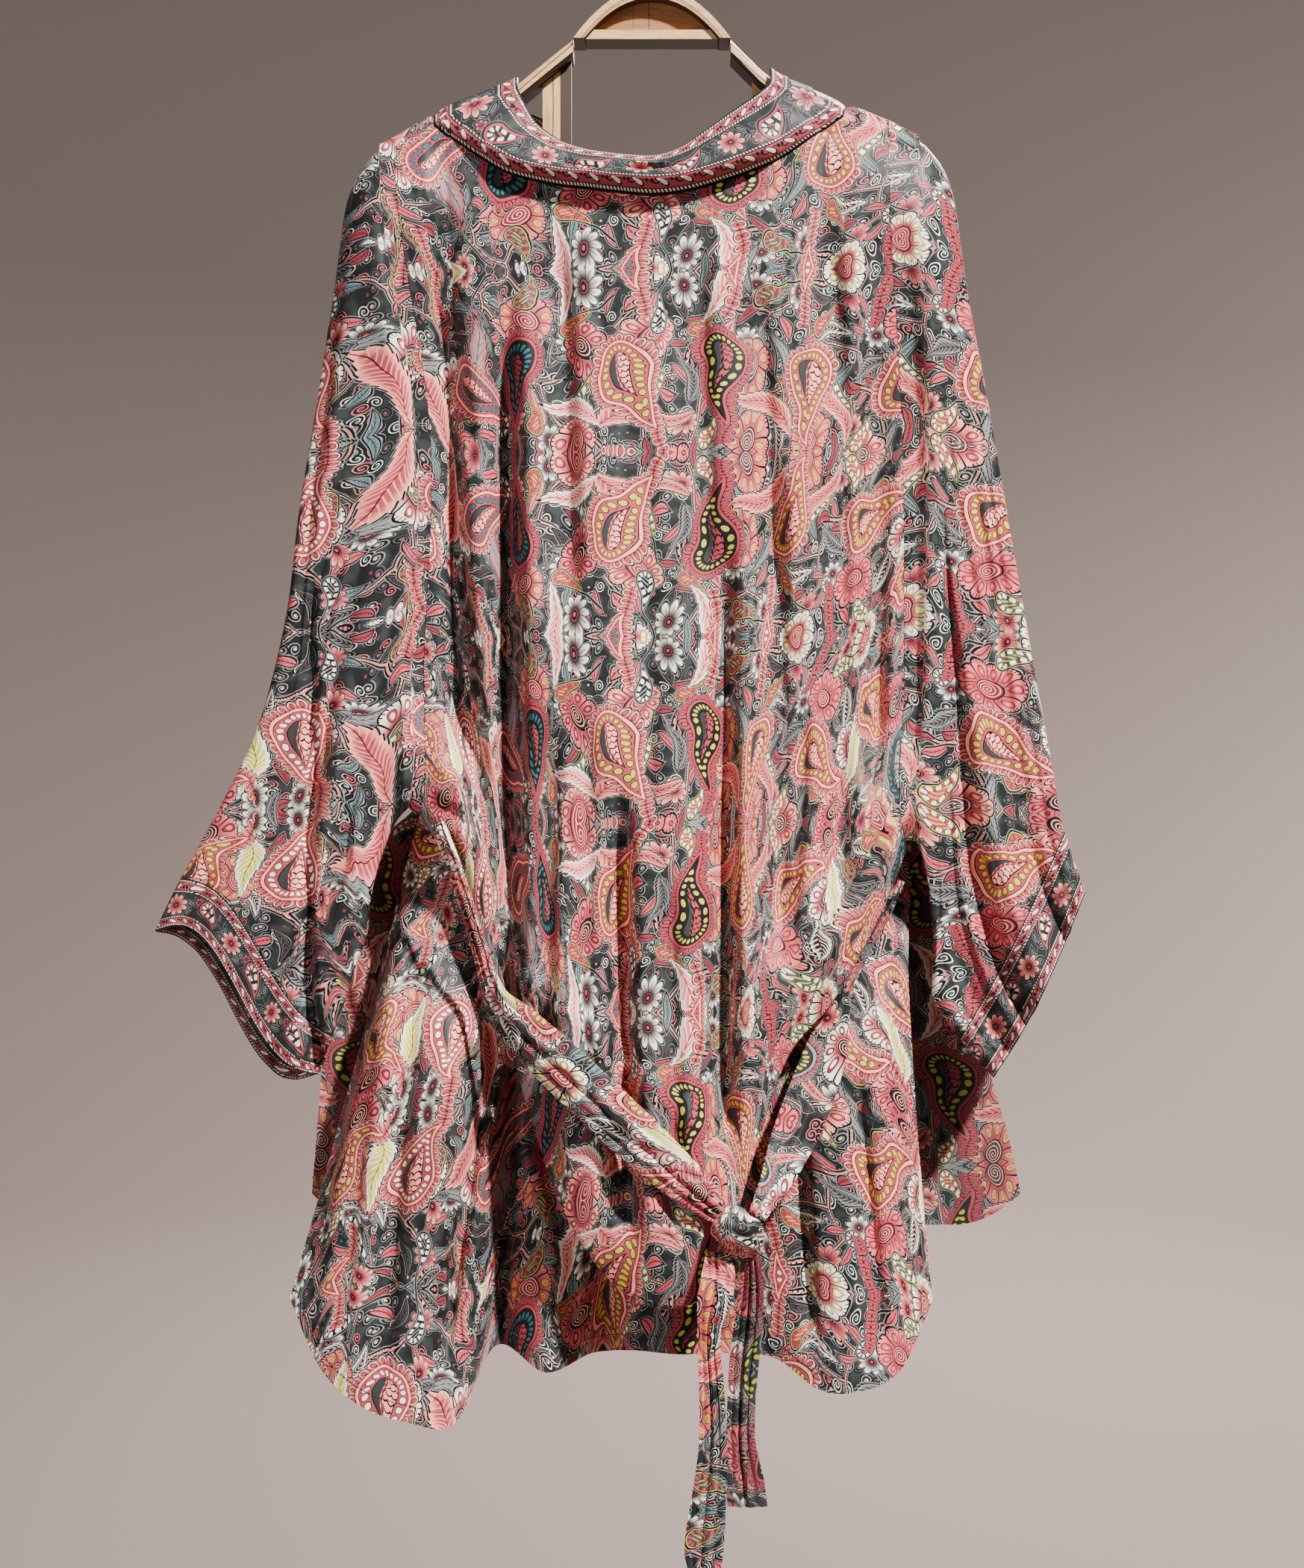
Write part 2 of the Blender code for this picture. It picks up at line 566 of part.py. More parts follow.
def over_wood(points, wall):
    """Moves true points of cloth clear of the hanger arms that they pass over or hang beside."""
    points = points.copy()
    across, depth, height = points[..., 0], points[..., 1], points[..., 2]
    flat = ARM_HALF_DEPTH - ARM_CORNER
    first, last = GORES[NECK_FIRST].top_across, GORES[NECK_LAST].top_across
    lift = np.interp(across, (first - 18, first - 2, last + 2, last + 18), (LIFT, NECK_LIFT, NECK_LIFT, LIFT))
    corner = ARM_CORNER + wall + lift
    reach = np.clip(np.abs(depth) - flat, 0, corner)
    drop = corner - np.sqrt(np.clip(corner**2 - reach**2, 0, None))
    top = -(arm_top(across) - wall - lift)
    near = (np.abs(depth) < flat + corner) & (height > top - 2 * ARM_HEIGHT)
    near &= (across > LEFT_ARM[-1][0] - 2) & (across < RIGHT_ARM[-1][0] + 2)
    beside = near & (height < top - corner)
    above = near & ~beside
    points[..., 2] = np.where(above, np.maximum(height, top - drop), height)
    points[..., 1] = np.where(beside, np.sign(depth) * (flat + corner), depth)
    return points


class Surface:
    """Finds the nearest face of a set of grids to the viewer at a place, in true coordinates."""

    def __init__(self, grids):
        corners = []
        for grid in grids:
            a, b = grid[:-1, :-1], grid[:-1, 1:]
            c, d = grid[1:, :-1], grid[1:, 1:]
            corners.append(np.stack([a, b, d], axis=-2).reshape(-1, 3, 3))
            corners.append(np.stack([a, d, c], axis=-2).reshape(-1, 3, 3))
        self.corners = np.concatenate(corners)

    def depth(self, across, height):
        """The smallest depth of any face at a place, or none."""
        a, b, c = self.corners[:, 0], self.corners[:, 1], self.corners[:, 2]
        area = (b[:, 0] - a[:, 0]) * (c[:, 2] - a[:, 2]) - (c[:, 0] - a[:, 0]) * (b[:, 2] - a[:, 2])
        safe = np.where(np.abs(area) < 1e-9, 1e-9, area)
        u = ((across - a[:, 0]) * (c[:, 2] - a[:, 2]) - (c[:, 0] - a[:, 0]) * (height - a[:, 2])) / safe
        v = ((b[:, 0] - a[:, 0]) * (height - a[:, 2]) - (across - a[:, 0]) * (b[:, 2] - a[:, 2])) / safe
        hit = (u >= 0) & (v >= 0) & (u + v <= 1) & (np.abs(area) > 1e-9)
        if not hit.any():
            return None
        depth = a[:, 1] + u * (b[:, 1] - a[:, 1]) + v * (c[:, 1] - a[:, 1])
        return depth[hit].min()

    def clear(self, across, height, reach):
        """The smallest depth within a reach of a place."""
        found = []
        for side in (-1, 0, 1):
            for rise in (-1, 0, 1):
                depth = self.depth(across + side * reach, height + rise * reach)
                if depth is not None:
                    found.append(depth)
        return min(found) if found else None


def ribbon(rows, columns):
    """A ribbon's points, in the hanging plane, from rows of (across, down, width, depth)."""
    rows = np.asarray(rows, dtype=float)
    run = np.gradient(rows[:, :2], axis=0)
    run /= np.linalg.norm(run, axis=-1, keepdims=True)
    aside = np.stack([run[:, 1], -run[:, 0]], axis=-1)
    share = np.linspace(-0.5, 0.5, columns)
    place = rows[:, None, :2] + aside[:, None, :] * rows[:, None, 2:3] * share[None, :, None]
    depth = np.repeat(rows[:, None, 3:4], columns, axis=1)
    return np.concatenate([place, depth], axis=-1)


def build_garment():
    """The robe: back, fronts, sleeves, cuffs and neck band."""
    back_plan = back_grid()
    front_plans = [front_grid(-1), front_grid(1)]
    back = over_wood(seen(back_plan), WALL)
    fronts = [over_wood(seen(plan), WALL) for plan in front_plans]
    back_in = inward(back)
    back_in[:BACK_ARMHOLE, 0] = flattened(back_in[:BACK_ARMHOLE, 0], 0)
    back_in[:BACK_ARMHOLE, -1] = flattened(back_in[:BACK_ARMHOLE, -1], 0)
    front_in = [inward(fronts[0], 1), inward(fronts[1], -1)]
    for direction in front_in:
        direction[:FRONT_ARMHOLE, -1] = flattened(direction[:FRONT_ARMHOLE, -1], 0)
        direction[0, :] = flattened(direction[0, :], 1)
    shoulder = COLUMNS_PER_GORE + 1
    back_in[0, :shoulder] = flattened(back_in[0, :shoulder], 1)
    back_in[0, -shoulder:] = flattened(back_in[0, -shoulder:], 1)
    add_sheet("back_panel", back, back_in, WALL, SATIN)
    add_sheet("front_left", fronts[0], front_in[0], WALL, SATIN)
    add_sheet("front_right", fronts[1], front_in[1], WALL, SATIN)
    build_band(back_plan, front_plans, back_in, front_in)
    for side in (0, 1):
        build_sleeve(side, back_plan, front_plans[side])
    return back


def build_band(back_plan, front_plans, back_in, front_in):
    """The neck band, whose seam edge shares its points and directions with the panels."""
    band = over_wood(seen(band_grid(back_plan, front_plans)), BAND_WALL)
    seam, rise, neck = band_ring(back_plan, front_plans)
    first = NECK_FIRST * COLUMNS_PER_GORE
    direction = inward(band, 1)
    seam_in = np.concatenate([front_in[0][::-1, 0], back_in[0, first : first + neck], front_in[1][:, 0]])
    direction[:, 0] = seam_in
    towards = band[:, 1] - band[:, 0]
    towards /= np.linalg.norm(towards, axis=-1, keepdims=True)
    band[:, 0] += SEAM * towards
    joint = (rise - 1, rise, rise + neck - 1, rise + neck)
    keep = [row for row in range(len(band)) if row not in (joint[0], joint[3])]
    add_sheet("neck_band", band[keep], direction[keep], BAND_WALL, BORDER)


def build_sleeve(side, back_plan, front_plan):
    """One sleeve and its cuff."""
    column = 0 if side == 0 else -1
    sign = -1 if side == 0 else 1
    near = back_plan[:BACK_ARMHOLE, column]
    far = front_plan[:FRONT_ARMHOLE, -1][::-1]
    under = np.linspace(near[-1], far[0], 4)[1:-1]
    under[:, 1] += UNDERARM_DROP
    start = np.concatenate([near, under, far])
    sections = LEFT_SLEEVE if side == 0 else RIGHT_SLEEVE
    cuff = LEFT_CUFF if side == 0 else RIGHT_CUFF
    folds = LEFT_FOLDS if side == 0 else RIGHT_FOLDS
    plan = sleeve_grid(start, sections, folds, cuff)
    rings = over_wood(seen(plan), WALL)
    rings[0, :, 0] += sign * SEAM
    direction = inward(rings, -sign, closed=True)
    direction[0] = flattened(direction[0], 0)
    word = "left" if side == 0 else "right"
    add_sheet("sleeve_" + word, rings[:-2], direction[:-2], WALL, SATIN, closed=True)
    cuff_rings = rings[-3:].copy()
    along = cuff_rings[1] - cuff_rings[0]
    cuff_rings[0] += SEAM * along / np.linalg.norm(along, axis=-1, keepdims=True)
    add_sheet("cuff_" + word, cuff_rings, direction[-3:], BAND_WALL, BORDER, closed=True)


def lain_on(surface, plan):
    """True points of a ribbon, moved out where needed so that it lies on a surface."""
    points = seen(plan)
    for row in range(points.shape[0]):
        for column in range(points.shape[1]):
            for _ in range(3):
                across, depth, height = points[row, column]
                found = surface.clear(across, height, LIE_REACH)
                if found is not None and found - BAND_WALL - LIE_GAP < depth:
                    across, down = plan[row, column, :2]
                    points[row, column] = seen((across, down, found - BAND_WALL - LIE_GAP))
    return points


def build_ties(back):
    """The ties, their knot and their tails."""
    surface = Surface([back])
    middle = [(t.across, t.down, t.width, -30.0) for t in TIE_LEFT]
    plan = through(ribbon(middle, 5), [2] * (len(TIE_LEFT) - 1))
    tie = lain_on(surface, plan)
    add_sheet("tie_left", tie, inward(tie, 1), BAND_WALL, SATIN)
    plan = through(ribbon(TIE_RIGHT, 5), [2] * (len(TIE_RIGHT) - 1))
    tie = seen(plan)
    add_sheet("tie_right", tie, inward(tie, 1), BAND_WALL, SATIN)
    for name, table in (("tail_left", TAIL_LEFT), ("tail_right", TAIL_RIGHT)):
        rows = []
        for t in table:
            share = np.linspace(0, 1, 5)
            across = t.left + (t.right - t.left) * share
            depth = t.depth + 3.0 * np.sin(share * math.pi)
            rows.append(np.stack([across, np.full(5, float(t.down)), depth], axis=-1))
        tail = lain_on(surface, through(rows, [2] * (len(table) - 1)))
        add_sheet(name, tail, inward(tail, 1), BAND_WALL, SATIN)
    rings = []
    for ring in refined(KNOT, 2):
        r = Ring(*ring)
        angles = np.linspace(0, 2 * math.pi, 14, endpoint=False)
        aside = np.cos(angles) * r.radius
        rings.append(np.stack([r.across + aside * 0.72, r.down - aside * 0.72,
                               r.depth + np.sin(angles) * r.radius * 0.62], axis=-1))
    add_loft("knot", seen(rings), SATIN)


def swept(points, wire, sides):
    """Rings of a round rod in the plane of the hanger."""
    points = np.asarray(points, dtype=float)
    run = np.gradient(points, axis=0)
    run /= np.linalg.norm(run, axis=-1, keepdims=True)
    aside = np.stack([run[:, 2], np.zeros(len(run)), -run[:, 0]], axis=-1)
    angles = np.linspace(0, 2 * math.pi, sides, endpoint=False)
    depth = np.array([0.0, 1.0, 0.0])
    return [p + wire * (np.cos(angles)[:, None] * a + np.sin(angles)[:, None] * depth)
            for p, a in zip(points, aside)]


def build_hanger():
    """The hook, the arch with its panel and crossbar, the two arms and the braces under them."""
    centre = HOOK_WIRE - HOOK_RADIUS
    turn = [math.radians(a) for a in range(200, -91, -15)]
    points = [(HOOK_RADIUS * math.cos(a), 0.0, centre + HOOK_RADIUS * math.sin(a)) for a in turn]
    points = points[:-1] + [(0.0, 0.0, -(ARCH_TOP - 14.0)), (0.0, 0.0, -(ARCH_TOP - 0.3))]
    points[-3] = (4.0, 0.0, centre - HOOK_RADIUS)
    add_loft("hook", swept(points, HOOK_WIRE, 10), STEEL)

    def arch_line(half_width, top, base, count):
        share = -np.cos(np.linspace(0, math.pi, count))
        return half_width * share, -(top + (base - top) * np.abs(share) ** ARCH_POWER)

    outer = arch_line(ARCH_HALF_WIDTH, ARCH_TOP, ARCH_BASE, 25)
    inner = arch_line(ARCH_HALF_WIDTH - RIM, ARCH_TOP + RIM, ARCH_BASE, 25)
    d = ARCH_HALF_DEPTH
    rings = [[(ox, -d, oz), (ox, d, oz), (ix, d, iz), (ix, -d, iz)]
             for ox, oz, ix, iz in zip(*outer, *inner)]
    add_loft("arch_rim", rings, PALE_WOOD)
    gap = 0.3
    base = ARCH_BASE - CROSSBAR_HEIGHT
    across, height = arch_line(ARCH_HALF_WIDTH - RIM - gap, ARCH_TOP + RIM + gap, ARCH_BASE, 25)
    keep = height > -(base - gap)
    bottom = -(base - gap)
    p = PANEL_HALF_DEPTH
    edge = [(across[keep][0], bottom)] + list(zip(across[keep], height[keep])) + [(across[keep][-1], bottom)]
    add_loft("lunette", [[(x, -p, z) for x, z in edge], [(x, p, z) for x, z in edge]], TAN_WOOD)
    c = ARCH_HALF_DEPTH - 3.0
    low = ARCH_HALF_WIDTH - RIM
    high = low * ((base - ARCH_TOP - RIM) / (ARCH_BASE - ARCH_TOP - RIM)) ** (1 / ARCH_POWER)
    low, high = low - CROSSBAR_GAP, high - CROSSBAR_GAP
    ends = []
    for side in (-1, 1):
        corners = ((high, -c, base), (high, c, base), (low, c, ARCH_BASE), (low, -c, ARCH_BASE))
        ends.append([(side * x, y, -down) for x, y, down in corners])
    add_loft("crossbar", ends, PALE_WOOD)
    build_arms()


def build_arms():
    """The arms, whose tops the cloth lies on, and the braces below them."""
    half = WOOD_HALF_DEPTH
    side = [(0.4 * half, 1.2), (0.75 * half, 4.6), (half, 9.0), (half, ARM_HEIGHT - 3)]
    side.append((half - 3, ARM_HEIGHT))
    profile = [(-y, drop) for y, drop in reversed(side)] + [(0, 0.2)] + side
    for name, table, sign in (("arm_left", LEFT_ARM, -1), ("arm_right", RIGHT_ARM, 1)):
        start = sign * (ARCH_HALF_WIDTH + 0.3)
        end = table[-1][0] - sign * ARM_END
        rings = []
        for across in np.linspace(start, end, 13):
            top = arm_top(across)
            rings.append([(across, y, -(top + drop)) for y, drop in profile])
        add_loft(name, rings, PALE_WOOD)
    b = BRACE_HALF_DEPTH
    for brace in BRACES:
        centre = (brace.inner + brace.outer) / 2
        low = [(x, arm_top(x) + ARM_HEIGHT + 0.3) for x in (brace.inner, centre, brace.outer)]
        line = [(x, -down) for x, down in low] + [(brace.outer, -brace.foot), (brace.inner, -brace.foot)]
        add_loft(brace.name, [[(x, -b, z) for x, z in line], [(x, b, z) for x, z in line]], PALE_WOOD)


def main():
    """Builds every piece."""
    for old in list(bpy.data.objects):
        bpy.data.objects.remove(old, do_unlink=True)
    back = build_garment()
    build_ties(back)
    build_hanger()


main()
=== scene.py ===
"""A short satin kimono robe on a wooden hanger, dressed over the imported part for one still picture.

The robe hangs with its back to -Y, where the camera is. Tables are in millimetres: across is +X,
down is measured below the hook's bearing point and depth is +Y, away from the viewer. The tables
give each point as it is seen against the hanging plane, and seen() moves it to its true place.
"""
from __future__ import annotations

import json
import logging
import math
from dataclasses import dataclass
from enum import Enum
from typing import Iterable, NamedTuple, Sequence, Union

import bmesh
import bpy
import numpy as np
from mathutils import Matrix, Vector
from mathutils.bvhtree import BVHTree

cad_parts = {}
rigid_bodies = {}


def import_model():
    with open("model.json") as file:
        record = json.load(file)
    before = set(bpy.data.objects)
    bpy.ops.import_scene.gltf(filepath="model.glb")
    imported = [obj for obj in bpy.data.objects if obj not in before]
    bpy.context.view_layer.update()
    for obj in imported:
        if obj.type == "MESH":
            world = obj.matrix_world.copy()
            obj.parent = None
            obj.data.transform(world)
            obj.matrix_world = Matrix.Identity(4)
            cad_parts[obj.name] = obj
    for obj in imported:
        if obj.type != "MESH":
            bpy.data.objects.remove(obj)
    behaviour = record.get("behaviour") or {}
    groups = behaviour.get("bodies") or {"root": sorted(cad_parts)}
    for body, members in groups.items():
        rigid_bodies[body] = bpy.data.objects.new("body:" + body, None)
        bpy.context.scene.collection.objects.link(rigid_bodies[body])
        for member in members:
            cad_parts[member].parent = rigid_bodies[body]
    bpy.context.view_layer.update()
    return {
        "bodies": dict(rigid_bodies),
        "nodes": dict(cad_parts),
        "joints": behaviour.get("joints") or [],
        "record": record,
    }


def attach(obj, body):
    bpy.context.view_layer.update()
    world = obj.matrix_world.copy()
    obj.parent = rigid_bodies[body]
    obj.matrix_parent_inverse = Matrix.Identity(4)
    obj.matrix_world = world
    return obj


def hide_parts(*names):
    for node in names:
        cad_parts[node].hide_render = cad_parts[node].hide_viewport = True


Array = np.ndarray
Colour = tuple[float, float, float]
log = logging.getLogger("kimono")

MM = 0.001
# Walls, gaps at seams, clearance over the wood, and how far stitches and ties keep off the cloth.
WALL = 1.5
BAND_WALL = 2.0
SHOWN_WALL = 1.0
BORDER_WALL = 1.6
BELT_WALL = 1.4
KNOT_WALL = 0.8
SEAM = 0.35
LIFT = 0.5
NECK_LIFT = 1.8
LIFT_EASE = (2, 18)
REST = WALL + LIFT
HEM_TURN = 12.0
SEAM_TURN = 1.6
STITCH_LIFT = 0.1
LIE_REACH = 13.0
LIE_GAP = 1.0
TIE_REACH = 3.0
TIE_GAP = 2.2
# Where the eye is: how far in front of the hanging plane and how far down.
SIGHT_DISTANCE = 1700.0
SIGHT_DOWN = 670.0
# The hanger's arms and arch.
ARM_HALF_DEPTH = 22.0
ARM_HEIGHT = 16.0
ARM_CORNER = 8.0
ARCH_TOP = 61.0
ARCH_BASE = 100.0
ARCH_HALF_WIDTH = 60.0
ARCH_POWER = 2.1
# The back: the fold at the pouch's lower edge, and the valleys along its sides.
FOLD_RADIUS = 4.5
POCKET_RADIUS = 6.0
FOLD_TURN = 0.25
SIDE_LEAN = 0.35
POUCH_LEAN = 0.28
POUCH_FILL = 6
PINCH = 12
CREASE_TOP = 20
CREASE_EASE = 60
VALLEY_DEPTH = 9
VALLEY_TOP = 230
VALLEY_FOOT = 690
VALLEY_REACH = 0.55
# The fronts, the sleeves and the band.
HEM_CORNER = 24
UNDERARM_DROP = -3
HEAD_SHARE = 0.17
HEAD_EASE = 0.40
SLEEVE_ROUNDNESS = 0.55
SLEEVE_FOLD_EASE = 0.4
FRONT_WAVE = 3.0
FRONT_CREASE_EASE = (40, 120)
CORNER_EASE = (0.78, 0.22)
BAND_WIDTH = 46
BAND_SETTLES = (190, 90)
ARMHOLE_LEVELS = 7
NECK_FIRST = 1
NECK_LAST = 14
COARSE_SECTIONS = 2
# The picture's width at the hanging plane, and the camera's distance and height, in metres.
PICTURE_WIDTH = 1.0045
PICTURE_DISTANCE = 1.7
PICTURE_HEIGHT = -0.66975


class Gore(NamedTuple):
    """One fold line of the back, from its top down over the pouch and on to the hem."""

    top_across: float
    top_down: float
    top_depth: float
    roll: float
    mid_across: float
    mid_down: float
    mid_depth: float
    edge_across: float
    edge_down: float
    edge_depth: float
    tuck: float
    flare: float
    skirt_depth: float
    hem_across: float
    hem_down: float
    hem_depth: float


class Crease(NamedTuple):
    """A soft trough from one point to another, or a ridge where depth is below 0.

    skew is how many times wider its right side is than its left one.
    """

    across_1: float
    down_1: float
    across_2: float
    down_2: float
    half_width: float
    depth: float
    skew: float = 1.0


class Level(NamedTuple):
    """One level of the fronts."""

    down: float
    left_edge: float
    left_side: float
    right_edge: float
    right_side: float
    depth: float
    side_depth: float


class Section(NamedTuple):
    """One section of a sleeve."""

    top_across: float
    top_down: float
    low_across: float
    low_down: float
    half_depth: float
    near_drop: float
    low_depth: float
    sway: float = 0.0


class SleeveFold(NamedTuple):
    """One lengthwise fold of a sleeve: place is 0 at its upper fold and 1 at its lower one.

    drift is how far its place moves down the sleeve, and skew widens its lower side.
    """

    place: float
    half_width: float
    near_depth: float
    far_depth: float
    starts: float
    drift: float = 0.0
    skew: float = 1.0


class Strap(NamedTuple):
    """One point of a tie's centre line."""

    across: float
    down: float
    width: float
    depth: float = -30.0


class Tail(NamedTuple):
    """One level of a tie's hanging end."""

    down: float
    left: float
    right: float
    depth: float


class Ring(NamedTuple):
    """One ring of the knot."""

    across: float
    down: float
    depth: float
    radius: float


def rows_of(kind: type, *rows: tuple[float, ...]) -> tuple:
    """A table whose rows are all of one kind."""
    return tuple(kind(*row) for row in rows)


LEFT_ARM = ((-60, 97), (-74, 108), (-90, 121), (-107, 135),
            (-129, 145), (-151, 154), (-178, 168), (-206, 183))
RIGHT_ARM = ((60, 97), (72, 109), (84, 121), (98, 132), (121, 142), (150, 155), (180, 165), (202, 176))
GORES = rows_of(
    Gore,
    (-198, 176, 0, 1, -170, 414, -27, -181, 700, -26, 11, 0.32, 20, -279, 1066, -16),
    (-176, 165, 0, 1, -153, 422, -33, -158, 719, -34, 11, 0.50, -34, -256, 1119, -46),
    (-158, 171, -25, 0, -145, 428, -37, -142, 760, -40, 12, 0.50, -44, -226, 1148, -68),
    (-135, 186, -28, 0, -125, 440, -42, -130, 800, -45, 13, 0.50, -48, -190, 1161, -80),
    (-111, 200, -30, 0, -106, 468, -44, -118, 842, -50, 15, 0.50, -40, -152, 1162, -64),
    (-75, 209, -32, 0, -87, 480, -49, -100, 905, -58, 22, 0.50, -18, -120, 1102, -14),
    (-50, 212, -33, 0, -63, 491, -53, -72, 990, -70, 36, 0.50, -34, -82, 1123, -46),
    (-25, 215, -33, 0, -37, 503, -56, -43, 1040, -80, 46, 0.50, -28, -46, 1108, -18),
    (1, 217, -34, 0, -11, 514, -57, -14, 1066, -88, 50, 0.50, -32, -14, 1106, -32),
    (26, 214, -33, 0, 15, 514, -57, 18, 1074, -90, 50, 0.50, -34, 20, 1109, -36),
    (52, 207, -32, 0, 41, 503, -56, 50, 1052, -84, 44, 0.50, -28, 60, 1108, -20),
    (78, 198, -31, 0, 72, 491, -55, 76, 965, -74, 32, 0.50, -30, 95, 1112, -38),
    (102, 187, -30, 0, 105, 468, -51, 104, 882, -64, 26, 0.50, -38, 128, 1136, -60),
    (130, 168, -27, 0, 134, 445, -46, 139, 838, -56, 22, 0.45, -42, 158, 1138, -66),
    (158, 158, 0, 1, 164, 428, -38, 177, 769, -44, 18, 0.35, -36, 191, 1122, -54),
    (182, 166, 0, 1, 193, 414, -30, 197, 718, -30, 13, 0.20, -14, 216, 1068, -22),
)
MAIN_CREASES = rows_of(
    Crease,
    (-112, 330, -108, 800, 10, 16), (-156, 230, -150, 620, 11, 9), (-24, 700, -18, 1000, 9, 12),
    (60, 480, 54, 960, 10, 13), (20, 300, 6, 620, 12, 5), (168, 230, 176, 640, 9, 8),
    (120, 560, 92, 800, 11, 7),
)
POUCH_CREASES = rows_of(
    Crease,
    (-172, 225, -166, 330, 7, 6), (-157, 315, -137, 420, 7, 7), (-168, 262, -140, 640, 24, 17, 0.36),
    (-116, 350, -104, 842, 24, 15, 0.36), (-140, 600, -112, 840, 21, 15, 0.4),
    (-76, 640, -84, 900, 19, 12, 0.4), (-70, 250, -62, 520, 24, 13, 0.34),
    (-50, 620, -50, 900, 17, 8, 0.4), (-25, 690, -17, 1009, 24, 15, 0.36),
    (-5, 400, -2, 700, 23, 8, 0.35), (14, 760, 18, 1010, 17, 10, 0.45),
    (36, 250, 44, 520, 23, 10, 0.34), (53, 500, 60, 960, 23, 14, 0.36), (84, 300, 96, 520, 19, 9, 0.35),
    (98, 440, 98, 780, 21, 14, 0.36), (118, 620, 108, 800, 13, 10, 0.4),
    (140, 260, 150, 420, 12, 7, 0.5), (146, 430, 146, 750, 23, 15, 0.36),
    (186, 330, 172, 660, 21, 19, 0.36), (-95, 300, -96, 560, 10, -4), (72, 640, 66, 900, 10, -4),
    (-35, 380, -38, 560, 14, -3), (8, 860, 2, 1020, 9, -4), (-112, 806, 70, 962, 9, -5),
    (-200, 668, -140, 700, 6, 7), (-196, 640, -146, 668, 7, -5), (-190, 690, -150, 740, 6, 6),
    (-60, 900, 20, 1000, 7, 4), (-112, 222, -108, 320, 6, 3), (-40, 232, -40, 330, 6, 3),
    (12, 234, 14, 330, 6, 3), (66, 226, 70, 330, 6, 3),
)
SKIRT_CREASES = rows_of(
    Crease,
    (-206, 760, -240, 1090, 14, 9, 0.5), (-178, 780, -206, 1110, 15, 12, 0.4),
    (-236, 860, -262, 1060, 8, 6), (-122, 868, -158, 1101, 11, 18, 0.4),
    (-106, 883, -116, 1100, 9, 16, 0.6), (-100, 888, -66, 1012, 10, 16, 0.5),
    (-152, 840, -178, 1130, 11, -6), (-62, 1020, -64, 1110, 8, 8), (-42, 940, -31, 1120, 15, 19, 0.4),
    (-20, 1030, -30, 1100, 8, 6), (40, 1030, 42, 1100, 8, 8), (110, 900, 124, 1090, 9, 12, 0.6),
    (146, 860, 170, 1100, 10, -6), (159, 900, 178, 1100, 13, 12, 0.4),
    (186, 800, 206, 1060, 10, 7, 0.5),
)
FRONT_LEVELS = rows_of(
    Level,
    (198, -142, -194, 130, 184, 29, 26), (222, -129, -192, 118, 186, 32, 26),
    (255, -113, -188, 104, 188, 34, 26), (310, -94, -180, 87, 191, 37, 27),
    (414, -74, -171, 70, 193, 40, 28), (550, -62, -170, 59, 200, 42, 28),
    (684, -57, -178, 54, 197, 42, 28), (716, -56, -213, 53, 205, 42, 32),
    (780, -55, -232, 52, 234, 42, 36), (880, -54, -253, 51, 257, 40, 36),
    (960, -54, -260, 50, 279, 40, 33), (1009, -54, -262, 50, 284, 40, 31),
)
BAND_FREE_BACK = (
    (-106, 133, 0), (-99, 143, -25), (-89, 160, -27), (-72, 173, -28), (-52, 180, -28), (-34, 183, -28),
    (-14, 185, -28), (4, 185, -28), (22, 179, -28), (40, 167, -28), (58, 154, -28), (74, 143, -27),
    (88, 133, -25), (94, 127, 0),
)
LEFT_SLEEVE = rows_of(
    Section,
    (-208, 181, -187, 688, 24, 0, 0), (-219, 191, -193, 694, 24, 0, -1),
    (-235, 222, -200, 705, 23, 0, -4), (-245, 290, -206, 720, 22, 0, -9),
    (-258, 374, -212, 738, 20, 0, -14), (-272, 460, -217, 760, 19, 0, -19),
    (-282, 540, -219, 784, 19, 0, -22), (-302, 620, -228, 810, 19, -3, -24, 1),
    (-330, 682, -236, 836, 20, -5, -25, 5), (-363, 742, -246, 864, 22, -8, -24, 13),
)
LEFT_CUFF = Section(-383, 783, -258, 893, 23, -10, -22, 20)
RIGHT_SLEEVE = rows_of(
    Section,
    (193, 169, 204, 714, 24, 0, 0), (213, 181, 210, 730, 24, 0, -1), (231, 213, 214, 752, 23, 0, -3),
    (243, 290, 216, 777, 22, 0, -6), (259, 376, 217, 800, 21, 0, -9), (274, 463, 216, 819, 20, 0, -12),
    (290, 555, 216, 834, 19, 2, -14), (304, 632, 222, 846, 19, 4, -15),
    (318, 706, 237, 866, 20, 8, -14),
)
RIGHT_CUFF = Section(334, 753, 263, 896, 21, 12, -12)
LEFT_FOLDS = rows_of(
    SleeveFold,
    (0.22, 0.05, 8, 5, 0.15), (0.45, 0.06, 12, -6, 0.25), (0.68, 0.05, 14, 8, 0.40),
    (0.86, 0.04, -8, 6, 0.50), (0.154, 0.10, 15, 0, 0.42, 1.8, 0.3),
    (0.10, 0.08, 6, 3, 0.03, 0.30, 0.4), (0.34, 0.08, 8, -3, 0.08, -0.10, 0.35),
    (0.57, 0.05, -4, 4, 0.20, 0.10), (0.76, 0.06, 8, -3, 0.20, -0.05, 0.4),
    (0.93, 0.03, 4, 3, 0.35, 0.0),
)
